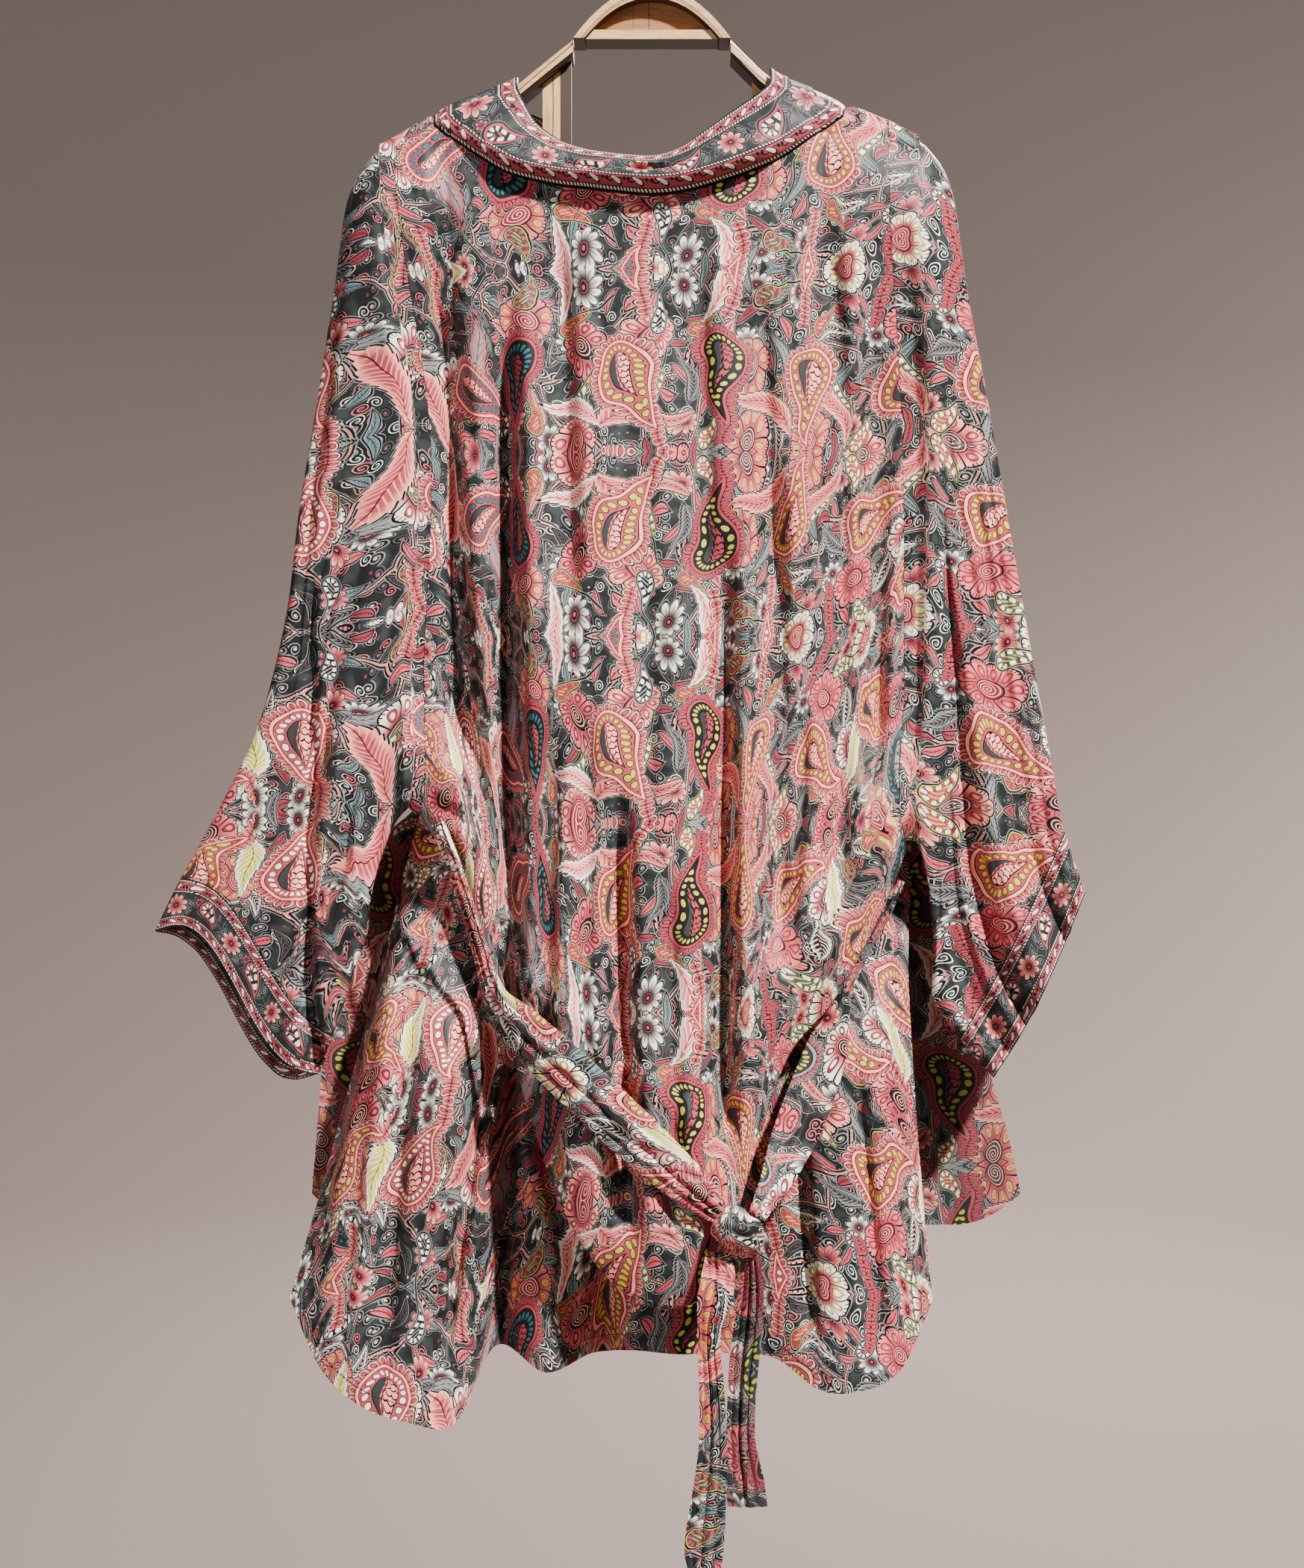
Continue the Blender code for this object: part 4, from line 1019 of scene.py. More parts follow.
@dataclass(frozen=True)
class Painter:
    """Paints the print's layers over one another.

    halo is how strong the pale line round each motif is.
    """

    g: Graph
    halo: float = 0.7

    def choose(self, chance: Value, *colours: Ink) -> "Signal | Ink":
        """One of some colours, by chance."""
        if not isinstance(chance, Signal):
            return colours[int(chance * len(colours))]
        count = len(colours)
        return self.g.ramp(chance, [(i / count, colour.value) for i, colour in enumerate(colours)])

    def over(self, mask: Value, below: "Signal | Ink", above: "Signal | Ink") -> Signal:
        """Paints a colour where a mask is 1."""
        first, second = (colour.value if isinstance(colour, Ink) else colour for colour in (below, above))
        return self.g.mixed(mask, first, second)

    def outlined(self, below: Signal, inside: Signal, filled: Signal) -> Signal:
        """Paints a motif with an ink line and a pale glow round it.

        Args:
            below: What is painted already.
            inside: How far inside the motif's outline a place is, in millimetres.
            filled: The motif's own colours.

        Returns:
            The colour.
        """
        glow = self.over(inside.between(-1.85, -1.5) * self.halo, below, Ink.MIST)
        inked = self.over(inside > -0.9, glow, Ink.LINE)
        return self.over(inside > 0.4, inked, filled)

    def ground(self, place: Signal) -> Signal:
        """Slate with fine curls."""
        g = self.g
        cell = g.add("ShaderNodeTexVoronoi", {"voronoi_dimensions": "2D", "feature": "F1"},
                     {"Vector": place, "Scale": 1 / 13.0, "Randomness": 0.75}, "Position")
        far = g.also(cell, "Distance") * 13.0
        x, y, _ = g.split(g.vector("SUBTRACT", place, cell))
        chance, hue, other = g.split(g.also(cell, "Color"))
        turn = g.math("ARCTAN2", y, x) * (1 / (2 * math.pi))
        coil = (far * (1 / 2.7) + turn + chance).part()
        cloud = g.add("ShaderNodeTexNoise", {"noise_dimensions": "2D"},
                      {"Vector": place, "Scale": 1 / 16.0, "Detail": 1.0})
        slate = g.mixed(cloud.between(0.35, 0.7), Ink.SHADE.value, Ink.SLATE.value)
        dark = self.over(abs(coil - 0.62) < 0.14, slate, Ink.LINE)
        curl = self.over(coil < 0.26, dark, self.choose(hue, Ink.MIST, Ink.GREY, Ink.CREAM, Ink.PINK))
        shown = self.over((far < 6.2) * (other < 0.9), slate, curl)
        return self.over(far < 1.2, shown, self.choose(hue, Ink.BLUSH, Ink.CORAL, Ink.TEAL, Ink.ROSE))

    def stems(self, below: Signal, place: Signal) -> Signal:
        """A net of winding braided stems."""
        g = self.g
        edge = g.add("ShaderNodeTexVoronoi", {"voronoi_dimensions": "2D", "feature": "DISTANCE_TO_EDGE"},
                     {"Vector": place, "Scale": 1 / 62.0, "Randomness": 1.0}) * 62.0
        across, along, _ = g.split(place)
        braid = ((across + along) * (1 / 2.4) + edge * 0.5).part()
        cord = self.over(braid < 0.35, Ink.BLUSH, Ink.SHADE)
        return self.outlined(below, 1.25 - edge, cord)

    def leaf(self, below: Signal, spot: Spot, half_length: float, half_width: float, bend: float,
             tooth: float, hatch: float, blades: tuple[Ink, ...], pales: tuple[Ink, ...]) -> Signal:
        """Pointed leaves with a midrib and slanted strokes.

        Args:
            below: What is painted already.
            spot: The leaf's own place.
            half_length: Half its length.
            half_width: Half its width.
            bend: How strongly it curves.
            tooth: How deep its edge is notched.
            hatch: The distance between two strokes.
            blades: The colours of its blade.
            pales: The colours of its strokes.

        Returns:
            The colour.
        """
        along = spot.y * (1 / half_length)
        aside = abs(spot.x + (along * along - 0.5) * bend)
        notch = (spot.y * (1 / (3.2 * max(tooth, 0.5)))).part() * tooth
        inside = (1.0 - along * along) * half_width - aside - notch
        blade = self.choose(spot.chance, *blades)
        pale = self.choose(spot.chance, *pales)
        stroke = abs(((spot.y + aside * 1.5) * (1 / hatch)).part() - 0.5)
        lit = self.g.mixed((inside * (1 / half_width)).between(0.0, 0.5), pale, blade)
        veined = self.g.mixed((1.0 - stroke.between(0.06, 0.2)) * (1.0 - along * along), lit, pale)
        ribbed = self.over(aside < 0.4, veined, Ink.WINE)
        return self.outlined(below, inside, ribbed)

    def daisy(self, below: Signal, spot: Spot, radius: float, petals: int) -> Signal:
        """Flowers with pointed petals round a dotted centre.

        Args:
            below: What is painted already.
            spot: The flower's own place.
            radius: Its radius.
            petals: How many petals it has.

        Returns:
            The colour.
        """
        g = self.g
        far = (spot.x * spot.x + spot.y * spot.y).root()
        turn = g.math("ARCTAN2", spot.y, spot.x) * (petals / (2 * math.pi))
        petal = abs(turn.part() - 0.5) * 2.0
        inside = (1.0 - petal * petal * 0.45) * radius - far
        base = self.choose(spot.chance, Ink.CREAM, Ink.BLUSH, Ink.CREAM, Ink.PINK)
        heart = self.choose(spot.chance, Ink.GREY, Ink.CORAL, Ink.SLATE, Ink.ROSE)
        face = self.over(1.0 - (far * (1 / radius)).between(0.3, 0.95), base, heart)
        split = self.over((petal > 0.88) * (far > radius * 0.3), face, Ink.LINE)
        rib = self.over((petal < 0.08) * (far < radius * 0.72), split, Ink.WINE)
        dots = ((0, Ink.CORAL), (0.10, Ink.LINE), (0.20, Ink.ROSE), (0.26, Ink.LINE))
        centre = g.ramp(far * (1 / radius), [(place, ink.value) for place, ink in dots])
        return self.outlined(below, inside, self.over(far < radius * 0.3, rib, centre))

    def bloom(self, below: Signal, spot: Spot, radius: float, petals: int) -> Signal:
        """Broad flowers whose round petals each hold a drop.

        Args:
            below: What is painted already.
            spot: The flower's own place.
            radius: Its radius.
            petals: How many petals it has.

        Returns:
            The colour.
        """
        g = self.g
        y = spot.y * 0.82
        far = (spot.x * spot.x + y * y).root()
        turn = g.math("ARCTAN2", y, spot.x) * (petals / (2 * math.pi))
        petal = turn.part() - 0.5
        lobe = (1.0 - petal * petal * 3.6).most(0.0).root()
        inside = lobe * (0.2 * radius) - (far - 0.84 * radius)
        share = far * (1 / radius)
        rim = self.choose(spot.chance, Ink.PINK, Ink.BLUSH, Ink.PINK, Ink.CREAM)
        drops = self.choose(spot.other, Ink.CORAL, Ink.LIME, Ink.CORAL, Ink.ROSE)
        face = self.over(share.between(0.45, 0.95), Ink.CORAL, rim)
        ticks = abs((turn * 6.0).part() - 0.5) < 0.16
        face = self.over(ticks * (share > 0.92), face, Ink.LINE)
        wide = petal * petal * 20.0
        deep = (share - 0.70) * 5.6
        drop = wide + deep * deep
        face = self.over(drop < 1.25, face, Ink.LINE)
        face = self.over(drop < 0.92, face, drops)
        face = self.over(drop < 0.3, face, rim)
        face = self.over(abs(petal) > 0.46, face, Ink.LINE)
        coil = (far * (1 / 2.6) + g.math("ARCTAN2", y, spot.x) * (1 / (2 * math.pi))).part()
        core = self.over(coil < 0.3, self.choose(spot.other, Ink.SLATE, Ink.ROSE, Ink.SHADE), Ink.BLUSH)
        core = self.over(share > 0.38, core, Ink.LINE)
        return self.outlined(below, inside, self.over(share < 0.42, face, core))

    def scales(self, x: Signal, y: Signal, size: float) -> Signal:
        """1 on the lines of overlapping round scales."""
        row = y * (1 / size)
        step = self.g.math("FLOOR", row)
        aside = (x * (1 / size) + step * 0.5).part() - 0.5
        high = row.part()
        return abs((aside * aside + high * high * 0.7).root() - 0.56) < 0.09

    def paisley(self, below: Signal, spot: Spot, radius: float, height: float, bend: float, petal: float,
                bodies: tuple[Ink, ...], rings: tuple[Ink, ...], seeds: tuple[Ink, ...],
                rim: float = 0.12) -> Signal:
        """Curved drops with a border of petals, a row of seeds and a scaled or striped middle.

        Args:
            below: What is painted already.
            spot: The drop's own place.
            radius: The radius of its round end.
            height: How far its tip is from the round end's centre.
            bend: How far its tip leans.
            petal: How far the petals stand out, or 0 for a plain border.
            bodies: The colours of its middle.
            rings: The colours of its border and petals.
            seeds: The colours of its seeds.
            rim: The share of its radius that its ring takes.

        Returns:
            The colour.
        """
        g = self.g
        y = spot.y + height * 0.36
        above = (y * (1 / height)).kept()
        lean = (above - 0.3).most(0.0)
        signed = spot.x - lean * lean * bend
        aside = abs(signed)
        low = y.least(0.0)
        deep = (1.0 - above) ** 0.8 * radius - (aside * aside + low * low).root()
        along = g.math("ARCTAN2", aside, -low + 0.001) * radius + y.most(0.0)
        bead = (along * (1 / 7.5)).part() - 0.5
        scallop = (1.0 - bead * bead * 3.4).most(0.0).root() * petal
        inside = deep + scallop
        body = self.choose(spot.chance, *bodies)
        ring = self.choose(spot.chance, *rings)
        seed = self.choose(spot.other, *seeds)
        size = 1 / radius
        row = (deep * size - rim - 0.22) * (radius / 2.9)
        oval = bead * bead * 9.0 + row * row
        seeded = self.over(oval < 1.5, body, Ink.LINE)
        seeded = self.over(oval < 0.95, seeded, seed)
        striped = self.over(abs((signed * 0.22 + y * 0.16).part() - 0.5) < 0.16, body, ring)
        if petal:
            scaled = self.over(self.scales(signed, y, 5.4), ring, Ink.LINE)
            half = self.over(signed > 0.0, striped, scaled)
            dark = self.over(signed < -radius * 0.12, half, Ink.SLATE)
            middle = self.over(abs(signed + radius * 0.06) < 0.4, dark, Ink.LINE)
            blush = self.over((deep * (1 / petal)).between(-0.9, 0.1), ring, Ink.CORAL)
            tip = bead * bead * 20.0 + ((deep + petal * 0.42) * (2.6 / petal)) ** 2.0
            border = self.over(tip < 1.0, blush, Ink.LINE)
            border = self.over(tip < 0.55, border, Ink.CORAL)
            border = self.over(abs(bead) > 0.45, border, Ink.LINE)
        else:
            middle = striped
            border = ring
        inner = self.over(deep * size > rim + 0.42, seeded, Ink.LINE)
        inner = self.over(deep * size > rim + 0.455, inner, middle)
        inner = self.over(deep * size < rim + 0.03, inner, Ink.LINE)
        inner = self.over(deep * size < rim, inner, ring)
        inner = self.over(deep < 0.35, inner, Ink.LINE)
        return self.outlined(below, inside, self.over(deep < -0.3, inner, border))


@dataclass(frozen=True)
class Satin:
    """Printed satin: each kind has its own colour."""

    name: str
    roughness: float = 0.5
    gloss: float = 0.12
    # How far the finish is mixed towards slate: painted shade, and on a reverse also the duller back of the
    # cloth.
    dulled: float = 0.0
    halo: float = 0.7

    def colour(self, painter: Painter, place: Signal) -> Signal:
        """The print's colour.

        Args:
            painter: What paints it.
            place: Millimetres on the flat cloth.

        Returns:
            The colour.
        """
        raise NotImplementedError

    def build(self) -> bpy.types.Material:
        """Makes the material."""
        made, g, shader = new_finish(self.name)
        place = g.vector("SCALE", g.add("ShaderNodeUVMap", {"uv_map": "cloth"}))
        place.socket.node.inputs["Scale"].default_value = 1 / MM
        colour = self.colour(Painter(g, self.halo), place)
        # Painted shade: the whole finish is darkened towards slate; on a reverse this also stands for the
        # duller back of the cloth.
        if self.dulled:
            colour = g.mixed(self.dulled, colour, Ink.SLATE.value)
        put(shader, "Base Color", colour)
        put(shader, "Roughness", self.roughness)
        put(shader, "Specular IOR Level", self.gloss)
        rumple = g.add("ShaderNodeTexNoise", {"noise_dimensions": "2D"},
                       {"Vector": g.vector("DIVIDE", place, (13.0, 46.0, 1.0)), "Scale": 1.0, "Detail": 2.0})
        put(shader, "Normal", bump(g, 0.4, 0.0016, rumple))
        log.info("%s: %d nodes", self.name, len(made.node_tree.nodes))
        return made


@dataclass(frozen=True)
class PrintedSatin(Satin):
    """A dense print of paisleys, flowers and leaves on slate, mirrored again and again down the cloth."""

    name: str = "printed_satin"
    mirror: float = 140.0
    fineness: float = 1.25

    def colour(self, painter: Painter, place: Signal) -> Signal:
        """The print's colour."""
        g = painter.g
        across, along, _ = g.split(place)
        plain = g.joined(across * self.fineness, along.folded(self.mirror) * self.fineness)
        wave = g.add("ShaderNodeTexNoise", {"noise_dimensions": "2D"},
                     {"Vector": plain, "Scale": 1 / 38.0, "Detail": 0.0}, "Color")
        drift = g.vector("MULTIPLY", g.vector("SUBTRACT", wave, (0.5, 0.5, 0.5)), (18.0, 18.0, 0.0))
        place = g.vector("ADD", plain, drift)
        paint = painter.stems(painter.ground(place), place)
        paint = painter.leaf(paint, Scatter(25, 33, 3.7, 0.8, 5.0).spot(g, place),
                             half_length=12.0, half_width=4.0, bend=3.0, tooth=0.0, hatch=3.4,
                             blades=(Ink.CORAL, Ink.SHADE, Ink.CORAL, Ink.TEAL, Ink.ROSE, Ink.SHADE),
                             pales=(Ink.PINK, Ink.GREY, Ink.PINK, Ink.MIST, Ink.CORAL, Ink.MIST))
        paint = painter.daisy(paint, Scatter(66, 70, 11.3, 0.7, 6.0).spot(g, place), radius=15.0, petals=10)
        paint = painter.leaf(paint, Scatter(52, 80, 71.3, 0.7, 4.0).spot(g, place),
                             half_length=24.0, half_width=7.0, bend=8.0, tooth=1.1, hatch=4.4,
                             blades=(Ink.CORAL, Ink.SHADE, Ink.MIST, Ink.SLATE),
                             pales=(Ink.BLUSH, Ink.CREAM, Ink.GREY, Ink.MIST))
        paint = painter.bloom(paint, Scatter(90, 108, 52.9, 0.6, 3.0).spot(g, place), radius=24.0, petals=9)
        paint = painter.paisley(paint, Scatter(68, 92, 31.9, 0.5, 2.0, 2.6).spot(g, place),
                                radius=10.0, height=28.0, bend=22.0, petal=0.0,
                                bodies=(Ink.GREY, Ink.SHADE, Ink.CORAL),
                                rings=(Ink.LIME, Ink.MIST, Ink.LIME), seeds=(Ink.CORAL, Ink.CREAM))
        paint = painter.leaf(paint, Scatter(98, 146, 23.1, 0.6, 1.8, 0.3).spot(g, place),
                             half_length=48.0, half_width=14.0, bend=14.0, tooth=2.2, hatch=6.4,
                             blades=(Ink.CORAL, Ink.MIST, Ink.LIME, Ink.CORAL, Ink.PINK),
                             pales=(Ink.BLUSH, Ink.CORAL, Ink.CREAM, Ink.BLUSH, Ink.CREAM))
        return painter.paisley(paint, Scatter(108, 148, 47.3, 0.5, 1.6, 0.2).spot(g, place),
                               radius=25.0, height=64.0, bend=40.0, petal=8.0,
                               bodies=(Ink.CORAL, Ink.SHADE, Ink.CORAL, Ink.SLATE),
                               rings=(Ink.BLUSH, Ink.CORAL, Ink.BLUSH, Ink.MIST),
                               seeds=(Ink.LIME, Ink.CREAM, Ink.LIME, Ink.TEAL))


@dataclass(frozen=True)
class BorderSatin(Satin):
    """The border of the neck band and the cuffs: U runs along it and V across its 46 mm."""

    name: str = "border_satin"
    halo: float = 0.3
    width: float = 46.0
    repeat: float = 72.0
    bud_step: float = 16.0
    twig_step: float = 12.0

    def colour(self, painter: Painter, place: Signal) -> Signal:
        """The border's colour."""
        g = painter.g
        along, across, _ = g.split(place)
        middle = across - self.width / 2
        edge = self.width / 2 - abs(middle)
        base = g.mixed(0.15, Ink.SHADE.value, Ink.SLATE.value)
        sway = (along * (2 * math.pi / self.repeat)).sine() * 4.5
        base = painter.over(abs(middle - sway) < 0.4, base, Ink.GREY)
        x, y = self._every(along, self.twig_step), abs(middle - sway) - 4.2
        twig = Spot(x * 0.7 + y * 0.7, x * 0.7 - y * 0.7, (along * (1 / 36.0)).part(), 0.0)
        base = painter.leaf(base, twig, half_length=4.6, half_width=1.7, bend=0.6, tooth=0.0, hatch=20.0,
                            blades=(Ink.TEAL, Ink.CORAL, Ink.TEAL), pales=(Ink.MIST, Ink.PINK, Ink.CREAM))
        cell = (along * (1 / self.repeat)).part() * self.repeat
        base = painter.daisy(base, Spot(cell - 17.0, middle, 0.3, 0.1), radius=11.0, petals=9)
        base = painter.daisy(base, Spot(cell - 36.5, middle + 6.0, 0.8, 0.1), radius=4.6, petals=6)
        reach = cell - 56.0
        drop = Spot((middle + 1.0) * 0.94 - reach * 0.34, reach * 0.94 + middle * 0.34, 0.1, 0.1)
        base = painter.paisley(base, drop, radius=9.2, height=22.0, bend=13.0, petal=0.0, rim=0.26,
                               bodies=(Ink.SHADE,), rings=(Ink.CORAL,), seeds=(Ink.CREAM,))
        stripe = edge - 5.8
        bud_along = self._every(along, self.bud_step)
        vine = (along * (2 * math.pi / self.bud_step)).sine() * 1.3
        band = painter.over(abs(stripe + vine) < 0.32, Ink.CORAL, Ink.LINE)
        slant = stripe + bud_along * 0.45
        heart = 1.5 - (bud_along * bud_along * 0.16 + slant * slant * 1.1).root()
        band = painter.over(heart > -0.4, band, Ink.LINE)
        band = painter.over(heart > 0.1, band, Ink.CREAM)
        bud = 1.0 - abs(abs(bud_along) - 6.4) * 0.8 - abs(stripe - 0.8) * 0.6
        band = painter.over(bud > -0.1, band, Ink.LINE)
        cord = painter.over((along * (1 / 2.5) + edge * 0.3).part() < 0.52, Ink.LINE, Ink.CREAM)
        base = painter.over(edge < 10.9, base, Ink.LINE)
        base = painter.over(abs(edge - 10.15) < 0.5, base, cord)
        base = painter.over(edge < 9.3, base, Ink.LINE)
        base = painter.over(edge < 8.9, base, band)
        base = painter.over(edge < 2.7, base, Ink.LINE)
        return painter.over(abs(edge - 1.7) < 0.6, base, cord)

    def _every(self, along: Signal, step: float) -> Signal:
        """How far along a place is from the middle of its own step."""
        return (along * (1 / step)).part() * step - step / 2


class Form:
    """The robe's shape: the grids of every piece of cloth, at one fineness."""

    def __init__(self, detail: Detail, dressed: bool) -> None:
        """Works out the panels.

        Args:
            detail: How finely the grids are divided.
            dressed: Whether the small creases are added to the main ones.
        """
        self.detail = detail
        self.dressed = dressed
        self.back_plan = self._back()
        self.front_plans = {side: self._front(side) for side in Side}

    def _back(self) -> Array:
        """The back, against the hanging plane: to the pouch's edge, up behind it, and down to the hem."""
        per_gore, steps = self.detail.per_gore, self.detail.back_steps
        table = refined(GORES, per_gore)
        g = Gore(*table.T)
        roll = np.clip(g.roll, 0, 1)
        top_depth = np.minimum(g.top_depth, 0)
        top_down = np.where(g.roll > 0.99, arm_top(g.top_across) - REST, g.top_down)
        run = unit(np.gradient(np.stack([g.edge_across, g.edge_down], axis=-1), axis=0))
        columns = np.arange(len(table))
        from_side = np.minimum(columns, columns[::-1])
        settled = np.clip(from_side / (1.4 * per_gore), 0, 1)[:, None]
        up = -np.ones(len(table))
        lean = np.stack([np.where(columns < len(table) / 2, SIDE_LEAN, -SIDE_LEAN), up], axis=-1)
        into = np.stack([run[:, 1] * FOLD_TURN, up], axis=-1)
        into = unit(settled * into + (1 - settled) * lean)

        def key(across: Array, down: Array, depth: Array) -> Array:
            """One key row."""
            return np.stack([across, down, np.broadcast_to(depth, across.shape)], axis=-1)

        def fold_key(reach: Array | float, depth: Array) -> Array:
            """One key row at a distance into the fold."""
            return key(g.edge_across + reach * into[:, 0], g.edge_down + reach * into[:, 1], depth)

        keys = [key(g.top_across, top_down, top_depth - roll * SEAM / 2)]
        for (reach, drop), (ease, fall) in zip(arm_round(), ((0.3, 4.0), (0.6, 9.0), (1.0, 16.0))):
            depth = top_depth - roll * reach - (1 - roll) * ease
            keys.append(key(g.top_across, top_down + roll * drop + (1 - roll) * fall, depth))
        keys.append(key(g.mid_across, g.mid_down, g.mid_depth))
        pinch = np.minimum(PINCH, 0.45 * g.tuck)
        before = fold_key(pinch, g.edge_depth)
        middle = keys[-1] * 0.42 + before * 0.58
        middle[:, 2] -= POUCH_FILL * np.sin(np.linspace(0, math.pi, len(middle)))
        keys += [middle, before, fold_key(0, g.edge_depth + FOLD_RADIUS)]
        behind = g.edge_depth + 2 * FOLD_RADIUS
        keys.append(fold_key(0.7 * pinch, behind))
        inner = behind + POUCH_LEAN * g.tuck
        keys.append(fold_key(g.tuck, inner))
        keys.append(fold_key(g.tuck + 4, inner + POCKET_RADIUS))
        keys.append(fold_key(g.tuck - 2, inner + 2 * POCKET_RADIUS))
        start = keys[-1]
        hem = key(g.hem_across, g.hem_down, g.hem_depth)
        for share in (1 / 3, 2 / 3):
            spread = share + (g.flare - 1 / 3) * (4 * share * (1 - share)) * 9 / 8
            row = start * (1 - share) + hem * share
            row[:, 0] = start[:, 0] * (1 - spread) + hem[:, 0] * spread
            row[:, 2] = g.skirt_depth * (1 - share / 2) + hem[:, 2] * share / 2
            keys.append(row)
        keys.append(hem)
        grid = through(keys, steps)
        push = crease_depth(grid[..., 0], grid[..., 1], MAIN_CREASES)
        fade = np.clip((grid[..., 1] - grid[:1, :, 1] - CREASE_TOP) / CREASE_EASE, 0, 1)
        self.valley = np.zeros(len(grid))
        if self.dressed:
            down = grid[: self.detail.back_armhole, 0, 1]
            valley = VALLEY_DEPTH * np.clip((down - VALLEY_TOP) / 60, 0, 1)
            self.valley[: len(down)] = valley * np.clip((VALLEY_FOOT - down) / 80, 0, 1)
            beside = np.exp(-((from_side / (VALLEY_REACH * per_gore)) ** 2))
            grid[..., 2] += self.valley[:, None] * beside[None, :]
            turn = sum(steps[:8])
            small = np.zeros_like(push)
            small[:turn] = crease_depth(grid[:turn, :, 0], grid[:turn, :, 1], POUCH_CREASES)
            small[turn:] = crease_depth(grid[turn:, :, 0], grid[turn:, :, 1], SKIRT_CREASES)
            push += small * np.clip(from_side / per_gore, 0, 1)[None, :]
        grid[..., 2] += push * fade
        return grid

    def _front(self, side: Side) -> Array:
        """One front, against the hanging plane, from its neck edge to its side edge.

        Args:
            side: Which front.

        Returns:
            The grid.
        """
        left = side is Side.LEFT
        across = np.linspace(0, 1, self.detail.front_columns)
        neck = GORES[NECK_FIRST] if left else GORES[NECK_LAST]
        tip = GORES[0] if left else GORES[-1]
        top_across = neck.top_across + (tip.top_across - neck.top_across) * across
        top_down = arm_top(top_across) - REST
        keys = [np.stack([top_across, top_down, np.full_like(across, SEAM / 2)], axis=-1)]
        for reach, drop in arm_round():
            keys.append(np.stack([top_across, top_down + drop, np.full_like(across, reach)], axis=-1))
        for level in FRONT_LEVELS:
            edge = level.left_edge if left else level.right_edge
            hang = level.left_side if left else level.right_side
            wave = FRONT_WAVE * np.sin(across * 3 * math.pi) * np.sin(across * math.pi)
            top, foot = FRONT_LEVELS[0].down, FRONT_LEVELS[-1].down
            swell = (level.down - top) / (foot - top)
            depth = level.depth + (level.side_depth - level.depth) * across**2 + (1 + 2 * swell) * wave
            down = np.full_like(across, float(level.down))
            if level is FRONT_LEVELS[-1]:
                down -= HEM_CORNER * np.clip((across - CORNER_EASE[0]) / CORNER_EASE[1], 0, 1) ** 2
            keys.append(np.stack([edge + (hang - edge) * across, down, depth], axis=-1))
        grid = through(keys, self.detail.front_steps)
        if self.dressed:
            start, ease = FRONT_CREASE_EASE
            fade = np.clip((grid[..., 1] - grid[:1, :, 1] - start) / ease, 0, 1)
            fade = fade * np.sin(across * math.pi)[None, :]
            grid[..., 2] -= fade * crease_depth(grid[..., 0], grid[..., 1], FRONT_CREASES)
        return grid

    def sleeve_plan(self, side: Side) -> Array:
        """A sleeve's rings, against the hanging plane, from the armhole ring to the cuff's edge.

        Args:
            side: Which sleeve.

        Returns:
            The grid, whose columns run round.
        """
        column = 0 if side is Side.LEFT else -1
        near_edge = self.back_plan[: self.detail.back_armhole, column]
        far_edge = self.front_plans[side][: self.detail.front_armhole, -1][::-1]
        under = np.linspace(near_edge[-1], far_edge[0], 4)[1:-1]
        under[:, 1] += UNDERARM_DROP
        start = np.concatenate([near_edge, under, far_edge])
        sections = LEFT_SLEEVE + (LEFT_CUFF,) if side is Side.LEFT else RIGHT_SLEEVE + (RIGHT_CUFF,)
        folds = LEFT_FOLDS if side is Side.LEFT else RIGHT_FOLDS
        near = start[:, 2] < 0
        down = start[:, 1]
        first_place = (down - down.min()) / (down.max() - down.min())
        count_near = int(near.sum())
        count_far = len(start) - count_near
        angle = np.concatenate([math.pi * (np.arange(count_near) + 0.5) / count_near,
                                (math.pi * (np.arange(count_far) + 0.5) / count_far)[::-1]])
        head, foot = start[near][0], start[near][-1]
        rings = refined(sections, self.detail.per_section)
        per = self.detail.per_section / COARSE_SECTIONS
        total = (len(rings) - 1) / per + 1
        half = ARM_HALF_DEPTH + REST
        valley = np.zeros(len(start))
        valley[: self.detail.back_armhole] = self.valley[: self.detail.back_armhole]
        stood = np.abs(start[:, 2] - valley)
        rows = [start]
        for i, ring in enumerate(rings):
            s = Section(*ring)
            t = (i / per + 1) / total
            keep = min(1.0, max(0.0, 1 - (t - HEAD_SHARE) / HEAD_EASE)) ** 2
            place = keep * first_place + (1 - keep) * (1 - np.cos(angle)) / 2
            line_across = s.top_across + (s.low_across - s.top_across) * place
            line_down = s.top_down + (s.low_down - s.top_down) * place
            straight = head[0] + (foot[0] - head[0]) * first_place
            bulge = (start[:, 0] - straight) * keep
            shape = keep * stood / half + (1 - keep) * np.sin(angle) ** SLEEVE_ROUNDNESS
            depth = s.half_depth * shape - valley * math.exp(-((i / per / 1.2) ** 2))
            for fold in folds:
                rise = np.clip((t - fold.starts) / SLEEVE_FOLD_EASE, 0, 1)
                centre = fold.place + fold.drift * (t - 0.5)
                width = fold.half_width * np.where(place > centre, fold.skew, 1.0)
                push = np.exp(-(((place - centre) / width) ** 2)) * rise
                depth = depth - push * np.where(near, fold.near_depth, fold.far_depth)
            drop = s.near_drop * np.sin(math.pi * place) * np.where(near, 1, -1)
            drop -= s.sway * np.sin(2 * math.pi * place)
            swing = s.low_depth * place
            rows.append(np.stack([line_across + bulge, line_down + drop,
                                  swing + np.where(near, -depth, depth)], axis=-1))
        return np.array(rows)

    def band_ring(self) -> tuple[Array, int, int]:
        """The neck band's seam line: up the left front, round the back neck, down the right front.

        Returns:
            Its points, how many belong to the left front, and how many to the back.
        """
        first = NECK_FIRST * self.detail.per_gore
        last = NECK_LAST * self.detail.per_gore
        left = self.front_plans[Side.LEFT][::-1, 0]
        right = self.front_plans[Side.RIGHT][:, 0]
        return np.concatenate([left, self.back_plan[0, first : last + 1], right]), len(left), last + 1 - first

